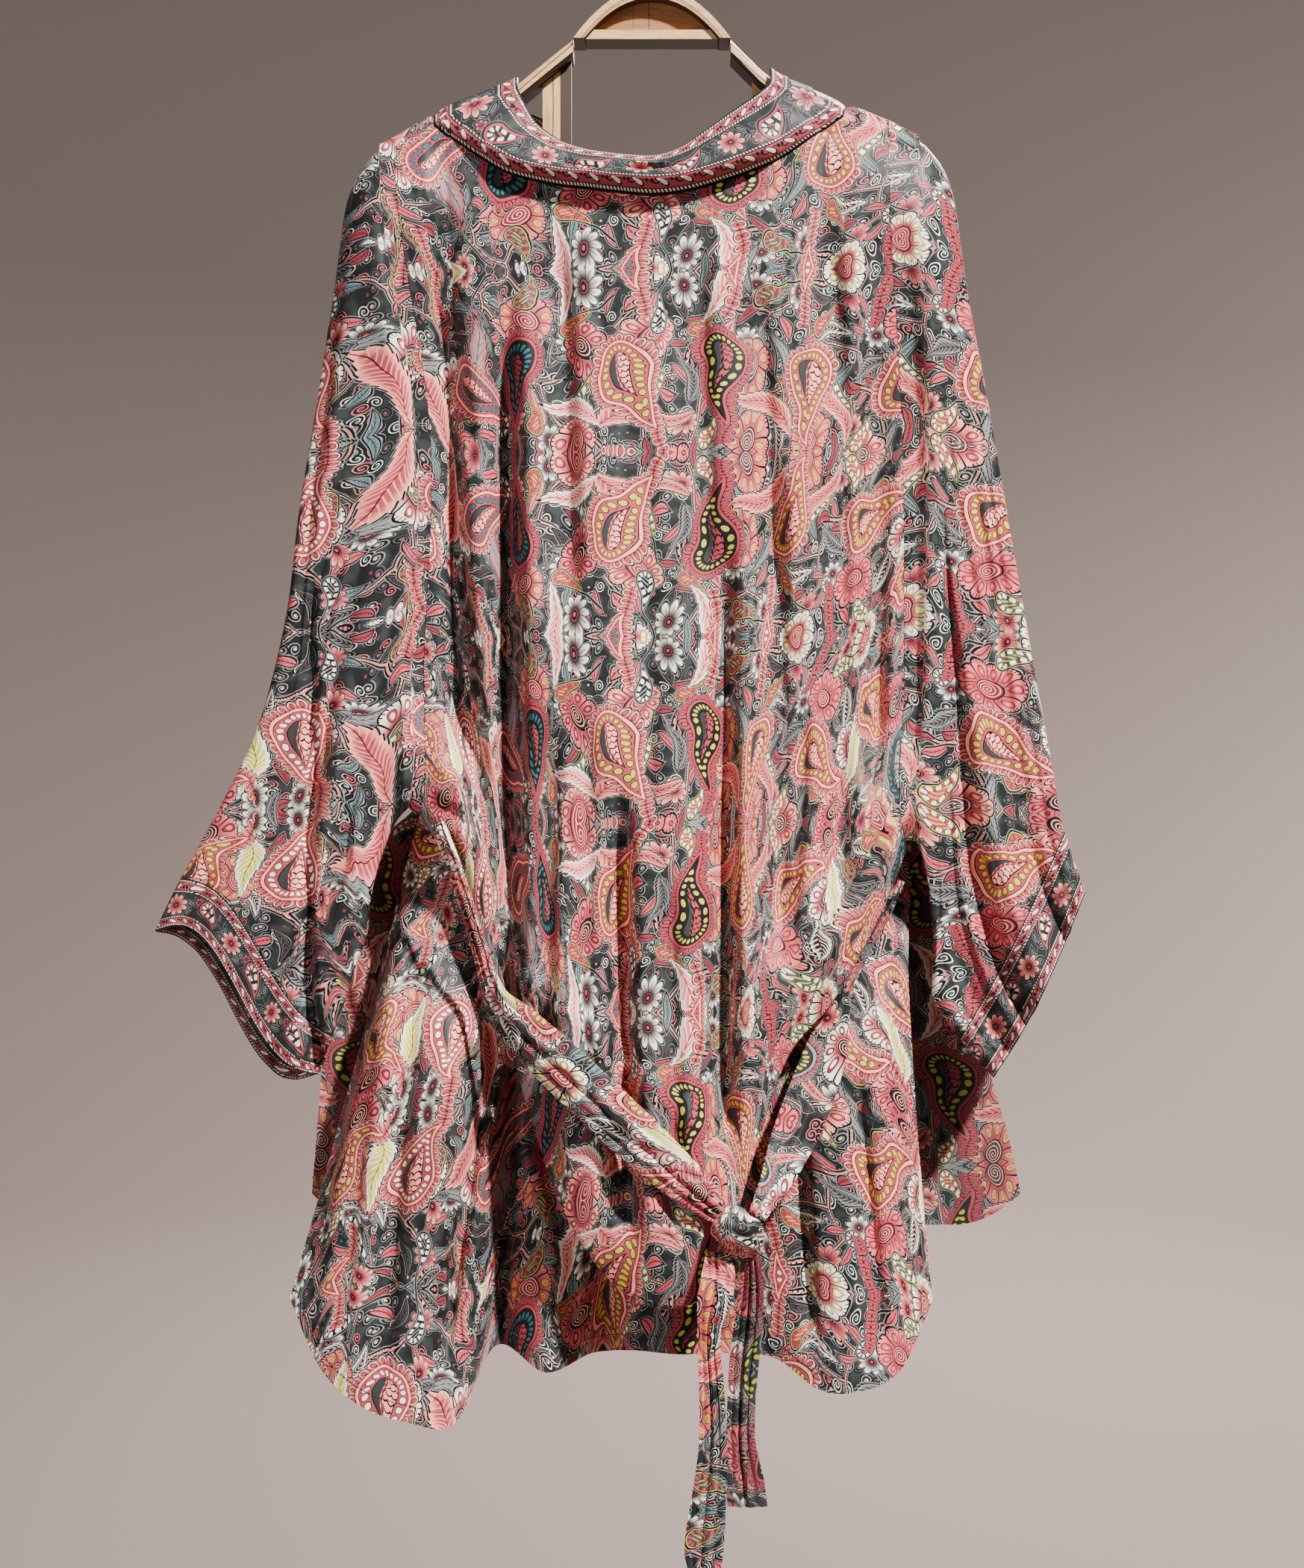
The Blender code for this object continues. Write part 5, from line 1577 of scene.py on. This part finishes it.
    def band_plan(self) -> Array:
        """The neck band: rows run along it, and columns from its seam to its free edge."""
        seam, rise, neck = self.band_ring()
        settles, ease = BAND_SETTLES
        free = np.empty_like(seam)
        free[rise : rise + neck] = refined(BAND_FREE_BACK, self.detail.per_gore)
        for sign, row_range in ((-1, range(rise - 1, -1, -1)), (1, range(rise + neck, len(seam)))):
            start = free[rise] if sign < 0 else free[rise + neck - 1]
            rows = list(row_range)
            for count, row in enumerate(rows):
                ahead = seam[rows[min(count + 1, len(rows) - 1)]]
                behind = seam[rows[max(count - 1, 0)]]
                run = (ahead - behind)[:2]
                run = run / max(np.linalg.norm(run), 1e-6)
                aside = np.array([-sign * run[1], sign * run[0]])
                settled = np.clip((seam[row, 1] - settles) / ease, 0, 1)
                spread = start[:2] - (seam[rise] if sign < 0 else seam[rise + neck - 1])[:2]
                free[row, :2] = seam[row, :2] + (1 - settled) * spread + settled * BAND_WIDTH * aside
                free[row, 2] = seam[row, 2] + 3 * settled
        share = np.linspace(0, 1, self.detail.band_columns)[None, :, None]
        return seam[:, None, :] * (1 - share) + free[:, None, :] * share


FRONT_CREASES = rows_of(
    Crease,
    (-128, 300, -150, 700, 9, 6), (-160, 420, -190, 960, 10, -5), (-98, 520, -130, 980, 9, 7),
    (-84, 300, -92, 640, 8, 4), (-220, 760, -232, 1000, 9, 6), (120, 300, 150, 700, 9, 6),
    (162, 420, 205, 960, 10, -5), (96, 540, 128, 980, 9, 7), (80, 320, 88, 640, 8, 4),
    (228, 760, 244, 1000, 9, 6),
)


class Faces:
    """A fast search for what lies in front of a place."""

    def __init__(self, grids: Sequence[Array]) -> None:
        """Gathers the faces of some grids."""
        points: list[Array] = []
        polygons: list[tuple[int, ...]] = []
        for grid in grids:
            base = sum(len(p) for p in points)
            rows, columns = grid.shape[:2]
            points.append(grid.reshape(-1, 3))
            for r in range(rows - 1):
                for c in range(columns - 1):
                    a = base + r * columns + c
                    polygons.append((a, a + 1, a + columns + 1, a + columns))
        self.tree = BVHTree.FromPolygons([Vector(p) for p in np.concatenate(points)], polygons)

    def nearest(self, across: float, height: float, reach: float) -> float | None:
        """The depth of the face nearest to the viewer within a reach of a place.

        Args:
            across: The place's x.
            height: The place's z.
            reach: How far around it faces count.

        Returns:
            The depth, or None where nothing lies there.
        """
        found = []
        for side in (-1, 0, 1):
            for rise in (-1, 0, 1):
                start = Vector((across + side * reach, -600.0, height + rise * reach))
                hit = self.tree.ray_cast(start, Vector((0, 1, 0)))[0]
                if hit is not None:
                    found.append(hit.y)
        return min(found) if found else None


def ribbon(rows: Sequence[Sequence[float]], columns: int) -> Array:
    """A ribbon's points, against the hanging plane.

    Args:
        rows: Rows of (across, down, width, depth).
        columns: How many points lie across it.

    Returns:
        The grid.
    """
    table = np.asarray(rows, dtype=float)
    run = unit(np.gradient(table[:, :2], axis=0))
    aside = np.stack([run[:, 1], -run[:, 0]], axis=-1)
    share = np.linspace(-0.5, 0.5, columns)
    place = table[:, None, :2] + aside[:, None, :] * table[:, None, 2:3] * share[None, :, None]
    depth = np.repeat(table[:, None, 3:4], columns, axis=1)
    return np.concatenate([place, depth], axis=-1)


def lain_on(faces: Faces, plan: Array) -> Array:
    """True points of a ribbon, moved out where needed so that it lies on some faces.

    Args:
        faces: What it lies on.
        plan: The ribbon against the hanging plane.

    Returns:
        The true points.
    """
    points = seen(plan)
    for row in range(points.shape[0]):
        for column in range(points.shape[1]):
            for _ in range(3):
                across, depth, height = points[row, column]
                found = faces.nearest(across, height, LIE_REACH)
                if found is not None and found - BAND_WALL - LIE_GAP < depth:
                    plan_across, down = plan[row, column, :2]
                    points[row, column] = seen((plan_across, down, found - BAND_WALL - LIE_GAP))
    return points


def finer(grid: Array, along: int, across: int) -> Array:
    """A grid with more rows and columns on the same smooth surface."""
    rows = refined(grid, along)
    return refined(rows.transpose(1, 0, 2), across).transpose(1, 0, 2)


def unfolded(rings: Array) -> Array:
    """Where each point of a sleeve lies on its flat cloth, which is cut open along the underarm.

    Args:
        rings: The sleeve's rings, whose columns start at the underarm.

    Returns:
        Pattern coordinates in metres, with one more column than the rings.
    """
    shut = closed_up(rings, True)
    around = run_along(shut, 1)
    far = int((rings[0, :, 1] >= 0).sum())
    top = (rings[:, far - 1] + rings[:, far]) / 2
    from_top = around - (around[:, far - 1] + around[:, far])[:, None] / 2
    flat_top = np.stack([top[:, 0], -top[:, 2]], axis=-1)
    foot = shut[:, 0]
    aside = unit(np.stack([foot[:, 0], -foot[:, 2]], axis=-1) - flat_top)
    along = unit(np.gradient(flat_top, axis=0))
    mirrored = 2 * (along * aside).sum(axis=-1, keepdims=True) * along - aside
    near, back = np.maximum(from_top, 0)[..., None], np.maximum(-from_top, 0)[..., None]
    return (flat_top[:, None, :] + near * aside[:, None, :] + back * mirrored[:, None, :]) * MM


@dataclass
class Piece:
    """One finished piece: its object, the nodes it stands for, and the cut of its cloth.

    turned puts its darker reverse on the outside, where that finish stands in for painted shade.
    """

    cloth: Cloth
    nodes: tuple[str, ...]
    slot: str
    held: str = "hung"
    rests_on: tuple[str, ...] = ()
    turned: bool = False

    def dress(self, outer: bpy.types.Material, inner: bpy.types.Material) -> bpy.types.Object:
        """Makes the object and says what it is.

        Args:
            outer: The material of the outside.
            inner: The material of the inside.

        Returns:
            The object.
        """
        # A turned piece shows its darker reverse outside, as painted shade.
        made = self.cloth.build(inner, outer) if self.turned else self.cloth.build(outer, inner)
        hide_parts(*self.nodes)
        width, length = self.cloth.flat_size
        log.info("%s: cut %.3f x %.3f m, %d faces", made.name, width, length, len(made.data.polygons))
        return made


@dataclass(frozen=True)
class Stitches:
    """Sewn stitches along a line on the cloth, set out by a node tree."""

    spacing: float = 3.4
    length: float = 2.4
    thickness: float = 0.6
    sides: int = 6

    def _thread(self) -> bpy.types.Material:
        """The thread's finish, the same for every row."""
        name = "thread"
        if name in bpy.data.materials:
            return bpy.data.materials[name]
        made, g, shader = new_finish(name)
        twist = g.add("ShaderNodeTexNoise", None, {"Vector": g.add("ShaderNodeTexCoord", output="Object"),
                                                   "Scale": 900.0, "Detail": 1.0})
        put(shader, "Base Color", g.mixed(twist, Ink.SHADE.value, Ink.SLATE.value))
        put(shader, "Roughness", 0.6)
        return made

    def _tree(self) -> bpy.types.NodeTree:
        """The tree that sets the stitches out along a line."""
        tree = bpy.data.node_groups.new("stitches", "GeometryNodeTree")
        tree.interface.new_socket("Line", in_out="INPUT", socket_type="NodeSocketGeometry")
        for label in ("Spacing", "Length", "Thickness"):
            tree.interface.new_socket(label, in_out="INPUT", socket_type="NodeSocketFloat")
        tree.interface.new_socket("Stitches", in_out="OUTPUT", socket_type="NodeSocketGeometry")
        g = Graph(tree)
        line = g.add("NodeGroupInput", output="Line")
        curve = g.add("GeometryNodeMeshToCurve", None, {"Mesh": line})
        points = g.add("GeometryNodeCurveToPoints", {"mode": "LENGTH"},
                       {"Curve": curve, "Length": g.also(line, "Spacing")}, "Points")
        radius = g.also(line, "Thickness") * 0.5
        stitch = g.add("GeometryNodeMeshCylinder", None, {
            "Vertices": self.sides, "Radius": radius, "Depth": g.also(line, "Length")})
        placed = g.add("GeometryNodeInstanceOnPoints", None, {
            "Points": points, "Instance": stitch, "Rotation": g.also(points, "Rotation")})
        real = g.add("GeometryNodeRealizeInstances", None, {"Geometry": placed})
        finished = g.add("GeometryNodeSetMaterial", None, {"Geometry": real, "Material": self._thread()})
        tree.links.new(finished.socket, tree.nodes.new("NodeGroupOutput").inputs["Stitches"])
        return tree

    def build(self, name: str, line: Array) -> bpy.types.Object:
        """Makes one row of stitches.

        Args:
            name: The object's name.
            line: Points along the row, in millimetres.

        Returns:
            The object, which rides on the part.
        """
        mesh = bpy.data.meshes.new(name + "_line")
        mesh.from_pydata((line * MM).tolist(), [(i, i + 1) for i in range(len(line) - 1)], [])
        guide = linked(name + "_line", mesh)
        tree = self._tree()
        modifier = guide.modifiers.new("stitches", "NODES")
        modifier.node_group = tree
        sizes = {"Spacing": self.spacing, "Length": self.length, "Thickness": self.thickness}
        for socket in tree.interface.items_tree:
            if socket.name in sizes:
                modifier[socket.identifier] = sizes[socket.name] * MM
        shown = guide.evaluated_get(bpy.context.evaluated_depsgraph_get())
        sewn = bpy.data.meshes.new_from_object(shown)
        bpy.data.objects.remove(guide)
        sewn.name = name
        made = linked(name, sewn)
        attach(made, "root")
        log.info("%s: %d faces", name, len(sewn.polygons))
        return made


def line_on(grid: Array, direction: Array, distance: float) -> Array:
    """A line on a cloth's outside, at a distance from its last row.

    Args:
        grid: The cloth's outside, in millimetres.
        direction: The direction to its inside at each point.
        distance: How far the line is from the last row.

    Returns:
        The line's points.
    """
    reach = run_along(grid[::-1], 0)
    outside = (grid - STITCH_LIFT * direction)[::-1]
    return np.array([[np.interp(distance, reach[:, c], outside[:, c, axis]) for axis in range(3)]
                     for c in range(grid.shape[1])])


@dataclass(frozen=True)
class BandRoll:
    """How the neck band rolls outwards behind the neck, with a slanting groove along it."""

    height: float = 13.0
    extra: float = 7.0
    extra_reach: float = 0.28
    lean: float = 0.52
    groove: float = 9.0
    groove_place: float = 0.52
    groove_width: float = 0.09
    slant: float = 0.5

    def bulge(self, share: Array, run: Array) -> Array:
        """How far the band stands out.

        Args:
            share: Places from its seam to its free edge, from 0 to 1.
            run: Places along the back neck, from -0.5 to 0.5.

        Returns:
            The distance at each place, in millimetres.
        """
        aside = (share - self.groove_place - self.slant * run) / self.groove_width
        groove = self.groove * np.exp(-(aside**2)) * np.clip(1.2 - 3 * abs(run), 0, 1)
        roll = self.height + self.extra * np.exp(-((run / self.extra_reach) ** 2))
        return roll * np.sin(share**self.lean * math.pi) - groove


class Robe:
    """The robe's cloth."""

    def __init__(self, satin: bpy.types.Material, lining: bpy.types.Material, border: bpy.types.Material,
                 border_lining: bpy.types.Material) -> None:
        """Keeps the materials and works out the shape.

        Args:
            satin: The printed satin.
            lining: Its reverse, mixed towards slate: partly the duller back of the cloth, partly painted
                shade.
            border: The printed border.
            border_lining: Its reverse, mixed towards slate in the same way.
        """
        self.satin = satin
        self.lining = lining
        self.border = border
        self.border_lining = border_lining
        self.form = Form(FINE, dressed=True)
        coarse = Form(COARSE, dressed=False)
        self.coarse_back = over_wood(seen(coarse.back_plan), WALL)
        self.back = over_wood(seen(self.form.back_plan), WALL)
        self.fronts = {side: over_wood(seen(plan), WALL) for side, plan in self.form.front_plans.items()}

    def _keep(self, piece: Piece, border: bool = False, stitched: float = 0.0) -> None:
        """Builds one piece, logs its cut, and sews its stitches where it has any.

        Args:
            piece: The piece.
            border: Whether it is cut from the border.
            stitched: How far its stitches are from its last edge, or 0 for none.
        """
        outer, inner = (self.border, self.border_lining) if border else (self.satin, self.lining)
        made = piece.dress(outer, inner)
        if stitched:
            line = line_on(piece.cloth.points, piece.cloth.inside, stitched)
            Stitches().build(made.name + "_stitches", line)

    def build_panels(self) -> None:
        """The back and the two fronts."""
        level = sum(FINE.back_steps[:4])
        cloth = Cloth("back", self.back, inward(self.back), pattern_of(self.back, level_row=level))
        self._keep(Piece(cloth, ("back_panel",), "printed_satin", rests_on=("arm_left", "arm_right")),
                   stitched=HEM_TURN)
        for side in Side:
            grid = self.fronts[side]
            cloth = Cloth(f"front_{side.word}_cloth", grid, inward(grid, -side.value),
                          pattern_of(grid, level_row=len(grid) // 2))
            self._keep(Piece(cloth, (f"front_{side.word}",), "printed_satin", rests_on=("arm_" + side.word,)),
                       stitched=HEM_TURN)

    def build_band(self) -> None:
        """The neck band, which rolls outwards behind the neck."""
        band = over_wood(seen(self.form.band_plan()), BAND_WALL)
        seam, rise, neck = self.form.band_ring()
        direction = inward(band)
        towards = unit(band[:, 1] - band[:, 0])
        band[:, 0] += SEAM * towards
        share = np.linspace(0, 1, band.shape[1])[None, :, None]
        rows = np.arange(len(band))
        ease = 0.2 * neck
        behind = np.clip((rows - rise) / ease, 0, 1) * np.clip((rise + neck - 1 - rows) / ease, 0, 1)
        run = ((rows - rise) / neck - 0.5)[:, None, None]
        band -= BandRoll().bulge(share, run) * behind[:, None, None] * direction
        keep = [row for row in range(len(band)) if row not in (rise - 1, rise + neck)]
        band, direction = band[keep], direction[keep]
        pattern = np.swapaxes(strip_pattern(np.swapaxes(band, 0, 1)), 0, 1)
        cloth = Cloth("neck_border", band, direction, pattern, wall=BORDER_WALL)
        self._keep(Piece(cloth, ("neck_band",), "border_satin", rests_on=("arm_left", "arm_right")),
                   border=True)

    def build_sleeve(self, side: Side) -> None:
        """One sleeve and its cuff."""
        rings = over_wood(seen(self.form.sleeve_plan(side)), WALL)
        rings[0, :, 0] += side.value * SEAM
        direction = inward(rings, -side.value, closed=True)
        last = self.form.detail.per_section
        rings, direction = self._from_underarm(rings, direction)
        cloth = Cloth(f"sleeve_{side.word}_cloth", rings[:-last], direction[:-last],
                      unfolded(rings)[:-last], closed=True)
        self._keep(Piece(cloth, ("sleeve_" + side.word,), "printed_satin", rests_on=("arm_" + side.word,)),
                   stitched=SEAM_TURN)
        cuff = rings[-(last + 1):].copy()
        cuff[0] += SEAM * unit(cuff[1] - cuff[0])
        cloth = Cloth(f"cuff_{side.word}_border", cuff, direction[-(last + 1):],
                      strip_pattern(cuff, closed=True), wall=BORDER_WALL, closed=True)
        self._keep(Piece(cloth, ("cuff_" + side.word,), "border_satin", rests_on=("sleeve_" + side.word,)),
                   border=True)

    def _from_underarm(self, rings: Array, direction: Array) -> tuple[Array, Array]:
        """Turns a sleeve's columns so that they start at the underarm seam."""
        shift = -int((rings[0, :, 1] < 0).sum())
        return np.roll(rings, shift, axis=1), np.roll(direction, shift, axis=1)

    def build_ties(self) -> None:
        """The ties, their knot and their hanging ends."""
        coarse = Faces([self.coarse_back])
        fine = Faces([self.back])
        left_plan, right_plan = (through(ribbon(table, BELT_COLUMNS), [2] * (len(table) - 1))
                                 for table in (TIE_LEFT, TIE_RIGHT))
        strips = {"tie_left": lain_on(coarse, left_plan), "tie_right": seen(right_plan)}
        share = np.linspace(0, 1, BELT_COLUMNS)
        for name, table in (("tail_left", TAIL_LEFT), ("tail_right", TAIL_RIGHT)):
            rows = []
            for t in table:
                depth = t.depth + BELT_ROLL * np.sin(share * math.pi)
                down = np.full(BELT_COLUMNS, float(t.down))
                rows.append(np.stack([t.left + (t.right - t.left) * share, down, depth], axis=-1))
            strips[name] = lain_on(coarse, through(rows, [2] * (len(table) - 1)))
        for name, strip in strips.items():
            grid = finer(strip, 5, 4)
            if name == "tie_left":
                for row, column in np.ndindex(grid.shape[:2]):
                    across, depth, height = grid[row, column]
                    found = fine.nearest(across, height, TIE_REACH)
                    if found is not None:
                        grid[row, column, 1] = min(depth, found - TIE_GAP)
            share = np.linspace(-1, 1, grid.shape[1])[None, :]
            round_over = BELT_ROUND * (1 - share**2)
            for centre, reach, depth in BELT_FOLDS:
                round_over = round_over - depth * np.exp(-(((share - centre) / reach) ** 2))
            grid = grid - inward(grid) * round_over[..., None]
            pattern = pattern_of(grid) + BELT_CUTS[name]
            cloth = Cloth(name + "_cloth", grid, inward(grid), pattern, wall=BELT_WALL)
            # The right tail shows the darker reverse outside: painted shade on the tail that hangs in shadow.
            self._keep(Piece(cloth, (name,), "printed_satin", rests_on=("back_panel",),
                             turned=name == "tail_right"))

    def build_knot(self) -> None:
        """The knot, a bundle of gathered cloth."""
        rings = []
        slant, flatness = 0.72, 0.62
        angles = np.linspace(0, 2 * math.pi, 72, endpoint=False)
        for number, row in enumerate(refined(KNOT, 6)):
            r = Ring(*row)
            gathers = 1 + 0.10 * np.sin(4 * angles + 0.35 * number) + 0.05 * np.sin(9 * angles - 0.3 * number)
            aside = np.cos(angles) * r.radius * gathers
            rings.append(np.stack([r.across + aside * slant, r.down - aside * slant,
                                   r.depth + np.sin(angles) * r.radius * flatness * gathers], axis=-1))
        grid = seen(rings)
        cloth = Cloth("knot_cloth", grid, inward(grid, closed=True), pattern_of(grid, closed=True),
                      wall=KNOT_WALL, closed=True)
        self._keep(Piece(cloth, ("knot",), "printed_satin", "gathered", ("back_panel",)))


@dataclass(frozen=True)
class Wood:
    """Planed wood with its grain along one axis of the part, and painted shade on its undersides."""

    name: str
    pale: Colour
    dark: Colour
    # The colour of the cut lines, and of the painted shade on faces that point down.
    under: Colour = (0.030, 0.014, 0.007)
    roughness: float = 0.5
    along: int = 0

    def lines(self, g: Graph, across: Signal, down: Signal) -> Signal | None:
        """1 on the lines that are cut into the wood, in millimetres across and down."""
        return None

    def build(self) -> bpy.types.Material:
        """Makes the material."""
        made, g, shader = new_finish(self.name)
        place = g.add("ShaderNodeTexCoord", output="Object")
        stretch = [70.0, 70.0, 70.0]
        stretch[self.along] = 7.0
        coarsely = g.vector("MULTIPLY", place, tuple(stretch))
        finely = g.vector("MULTIPLY", place, tuple(4 * s for s in stretch))
        grain = g.add("ShaderNodeTexNoise", None,
                      {"Vector": coarsely, "Scale": 6.0, "Detail": 4.0, "Distortion": 0.6})
        fine = g.add("ShaderNodeTexNoise", None, {"Vector": finely, "Scale": 6.0, "Detail": 3.0})
        colour = g.mixed((grain * 0.7 + fine * 0.3).between(0.3, 0.75), self.pale, self.dark)
        x, _, z = g.split(place)
        lines = self.lines(g, x * 1000.0, z * -1000.0)
        if lines is not None:
            colour = g.mixed(lines, colour, self.under)
        # Painted shade: faces that point downwards take the dark colour.
        _, _, up = g.split(g.add("ShaderNodeNewGeometry", output="Normal"))
        put(shader, "Base Color", g.mixed(up < -0.4, colour, self.under))
        put(shader, "Normal", bump(g, 0.15, 0.0004, fine))
        put(shader, "Roughness", self.roughness)
        return made


@dataclass(frozen=True)
class RimWood(Wood):
    """The arch's wood, with a double inlaid line along its inner edge."""

    def lines(self, g: Graph, across: Signal, down: Signal) -> Signal:
        """The double line."""
        share = abs(across) * (1 / ARCH_HALF_WIDTH)
        rise = ARCH_BASE - ARCH_TOP
        slope = share ** (ARCH_POWER - 1) * (rise * ARCH_POWER / ARCH_HALF_WIDTH)
        depth = (down - ARCH_TOP - share**ARCH_POWER * rise) / (slope * slope + 1.0).root()
        return (abs(depth - 5.2) < 0.35).most(abs(depth - 6.6) < 0.25)


@dataclass(frozen=True)
class ArmWood(Wood):
    """The arms' wood, with lengthwise grooves."""

    fall: float = 0.86

    def lines(self, g: Graph, across: Signal, down: Signal) -> Signal:
        """The grooves."""
        depth = (down - ARCH_BASE + 2.0 - (abs(across) - ARCH_HALF_WIDTH) * self.fall) * 0.76
        return (abs(depth - 4.4) < 0.5).most(abs(depth - 9.6) < 0.4)


@dataclass(frozen=True)
class PanelWood(Wood):
    """The half-disc's wood, with a thin groove and the edge line of an upright strip."""

    def lines(self, g: Graph, across: Signal, down: Signal) -> Signal:
        """The groove and the strip's edge."""
        return (abs(across + 2.3) < 0.35).most(abs(across + 14.5) < 0.2)


@dataclass(frozen=True)
class BoardWood(Wood):
    """The side boards' wood, with a dark strip down the left one."""

    def lines(self, g: Graph, across: Signal, down: Signal) -> Signal:
        """The strip and a thin line."""
        return (abs(across + 63.5) < 7.0).most(abs(across + 76.0) < 0.4)


@dataclass(frozen=True)
class Steel:
    """Bright drawn steel."""

    name: str = "hook_steel"
    colour: Colour = (0.62, 0.62, 0.60)
    roughness: float = 0.25

    def build(self) -> bpy.types.Material:
        """Makes the material."""
        made, g, shader = new_finish(self.name)
        place = g.add("ShaderNodeTexCoord", output="Object")
        lines = g.add("ShaderNodeTexNoise", None, {"Vector": place, "Scale": 900.0, "Detail": 2.0})
        put(shader, "Normal", bump(g, 0.08, 0.0002, lines))
        put(shader, "Base Color", (*self.colour, 1.0))
        put(shader, "Metallic", 1.0)
        put(shader, "Roughness", self.roughness)
        return made


class Hanger:
    """The wooden hanger and its hook."""

    def __init__(self, frame: dict) -> None:
        """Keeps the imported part's nodes."""
        self.nodes = frame["nodes"]

    def dress(self) -> None:
        """Gives each wooden piece its finish."""
        light, grain = (0.62, 0.40, 0.17), (0.36, 0.20, 0.075)
        rim = RimWood("rim_wood", light, grain).build()
        arm = ArmWood("arm_wood", light, grain).build()
        bar = Wood("bar_wood", light, grain).build()
        board = BoardWood("board_wood", light, grain, along=2).build()
        tan = PanelWood("tan_wood", (0.30, 0.13, 0.045), (0.17, 0.065, 0.02)).build()
        steel = Steel().build()
        for finish, slot, names in ((rim, "pale_wood", ("arch_rim",)), (bar, "pale_wood", ("crossbar",)),
                                    (arm, "pale_wood", ("arm_left", "arm_right")),
                                    (board, "pale_wood", ("brace_left", "brace_right")),
                                    (tan, "tan_wood", ("lunette",)), (steel, "steel", ("hook",))):
            for name in names:
                node = self.nodes[name]
                node.data.materials.clear()
                node.data.materials.append(finish)


@dataclass(frozen=True)
class Lamp:
    """One soft light of the studio."""

    name: str
    place: tuple[float, float, float]
    aim: tuple[float, float, float]
    size: float
    power: float
    colour: Colour = (1.0, 1.0, 1.0)

    def build(self) -> None:
        """Makes the lamp."""
        data = bpy.data.lights.new(self.name, "AREA")
        data.shape = "DISK"
        data.size = self.size
        data.energy = self.power
        data.color = self.colour
        lamp = linked(self.name, data)
        lamp.location = self.place
        lamp.rotation_euler = (Vector(self.aim) - Vector(self.place)).to_track_quat("-Z", "Y").to_euler()


@dataclass(frozen=True)
class Studio:
    """The camera, the floor and the light."""

    floor_height: float = -1.75
    floor_colour: Colour = (0.108, 0.089, 0.080)
    bowl_radius: float = 7.0
    bend_radius: float = 3.0
    wall_height: float = 4.6
    sky_power: float = 0.14
    lamps: tuple[Lamp, ...] = (
        Lamp("key", (2.3, -2.8, 3.5), (0.0, 0.0, -0.68), 0.3, 1440.0, (1.0, 0.96, 0.92)),
        Lamp("fill", (-2.2, -2.2, -0.2), (0.0, 0.0, -0.7), 2.0, 33.0),
        Lamp("wall", (3.2, 4.2, -0.2), (2.2, 7.0, -0.2), 1.5, 155.0, (1.0, 0.9, 0.85)),
        Lamp("top", (0.2, 0.6, 1.4), (0.0, 0.1, -0.6), 1.2, 14.0),
        Lamp("floor", (1.0, 3.0, 1.4), (0.7, 2.7, -1.75), 1.2, 590.0, (1.0, 0.86, 0.81)),
    )

    def build(self) -> None:
        """Builds the camera, the floor, the sky and the lamps."""
        data = bpy.data.cameras.new("camera")
        data.sensor_fit = "HORIZONTAL"
        data.angle = 2 * math.atan(PICTURE_WIDTH / 2 / PICTURE_DISTANCE)
        camera = linked("camera", data)
        camera.location = (0.0, -PICTURE_DISTANCE, PICTURE_HEIGHT)
        camera.rotation_euler = (math.radians(90), 0.0, 0.0)
        bpy.context.scene.camera = camera
        self._floor()
        world = bpy.data.worlds.new("studio")
        bpy.context.scene.world = world
        world.use_nodes = True
        sky = world.node_tree.nodes["Background"]
        sky.inputs["Color"].default_value = (0.93, 0.95, 1.0, 1.0)
        sky.inputs["Strength"].default_value = self.sky_power
        for lamp in self.lamps:
            lamp.build()

    def _floor(self) -> None:
        """A plain round floor that turns up into a wall on every side."""
        steps, around = 14, 96
        line = [(0.02, 0.0), (self.bowl_radius - self.bend_radius, 0.0)]
        for step in range(1, steps + 1):
            turn = math.pi / 2 * step / steps
            line.append((self.bowl_radius - self.bend_radius * (1 - math.sin(turn)),
                         self.bend_radius * (1 - math.cos(turn))))
        line.append((self.bowl_radius, self.wall_height))
        vertices = []
        for spoke in range(around):
            turn = 2 * math.pi * spoke / around
            x, y = math.cos(turn), math.sin(turn)
            vertices += [(r * x, r * y, self.floor_height + rise) for r, rise in line]
        count = len(line)
        faces = []
        for spoke in range(around):
            here, there = spoke * count, (spoke + 1) % around * count
            faces += [(here + i, here + i + 1, there + i + 1, there + i) for i in range(count - 1)]
        faces.append(tuple(spoke * count for spoke in reversed(range(around))))
        mesh = bpy.data.meshes.new("floor")
        mesh.from_pydata(vertices, [], faces)
        mesh.shade_smooth()
        paint, _, shader = new_finish("floor_paint")
        put(shader, "Base Color", (*self.floor_colour, 1.0))
        put(shader, "Roughness", 0.9)
        mesh.materials.append(paint)
        linked("floor", mesh)


def main() -> None:
    """Builds the scene in order and reports each piece."""
    logging.basicConfig(level=logging.INFO, format="%(name)s: %(message)s")
    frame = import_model()
    satin = PrintedSatin().build()
    # The reverse finishes are mixed towards slate: partly the duller back of the cloth, partly painted shade.
    lining = PrintedSatin(name="satin_reverse", dulled=0.35).build()
    # The border is mixed a little towards slate as painted shade.
    border = BorderSatin(dulled=0.2).build()
    robe = Robe(satin, lining, border, BorderSatin(name="border_reverse", dulled=0.35).build())
    robe.build_panels()
    robe.build_band()
    for side in Side:
        robe.build_sleeve(side)
    robe.build_ties()
    robe.build_knot()
    Hanger(frame).dress()
    Studio().build()
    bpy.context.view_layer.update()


if __name__ == "__main__":
    main()
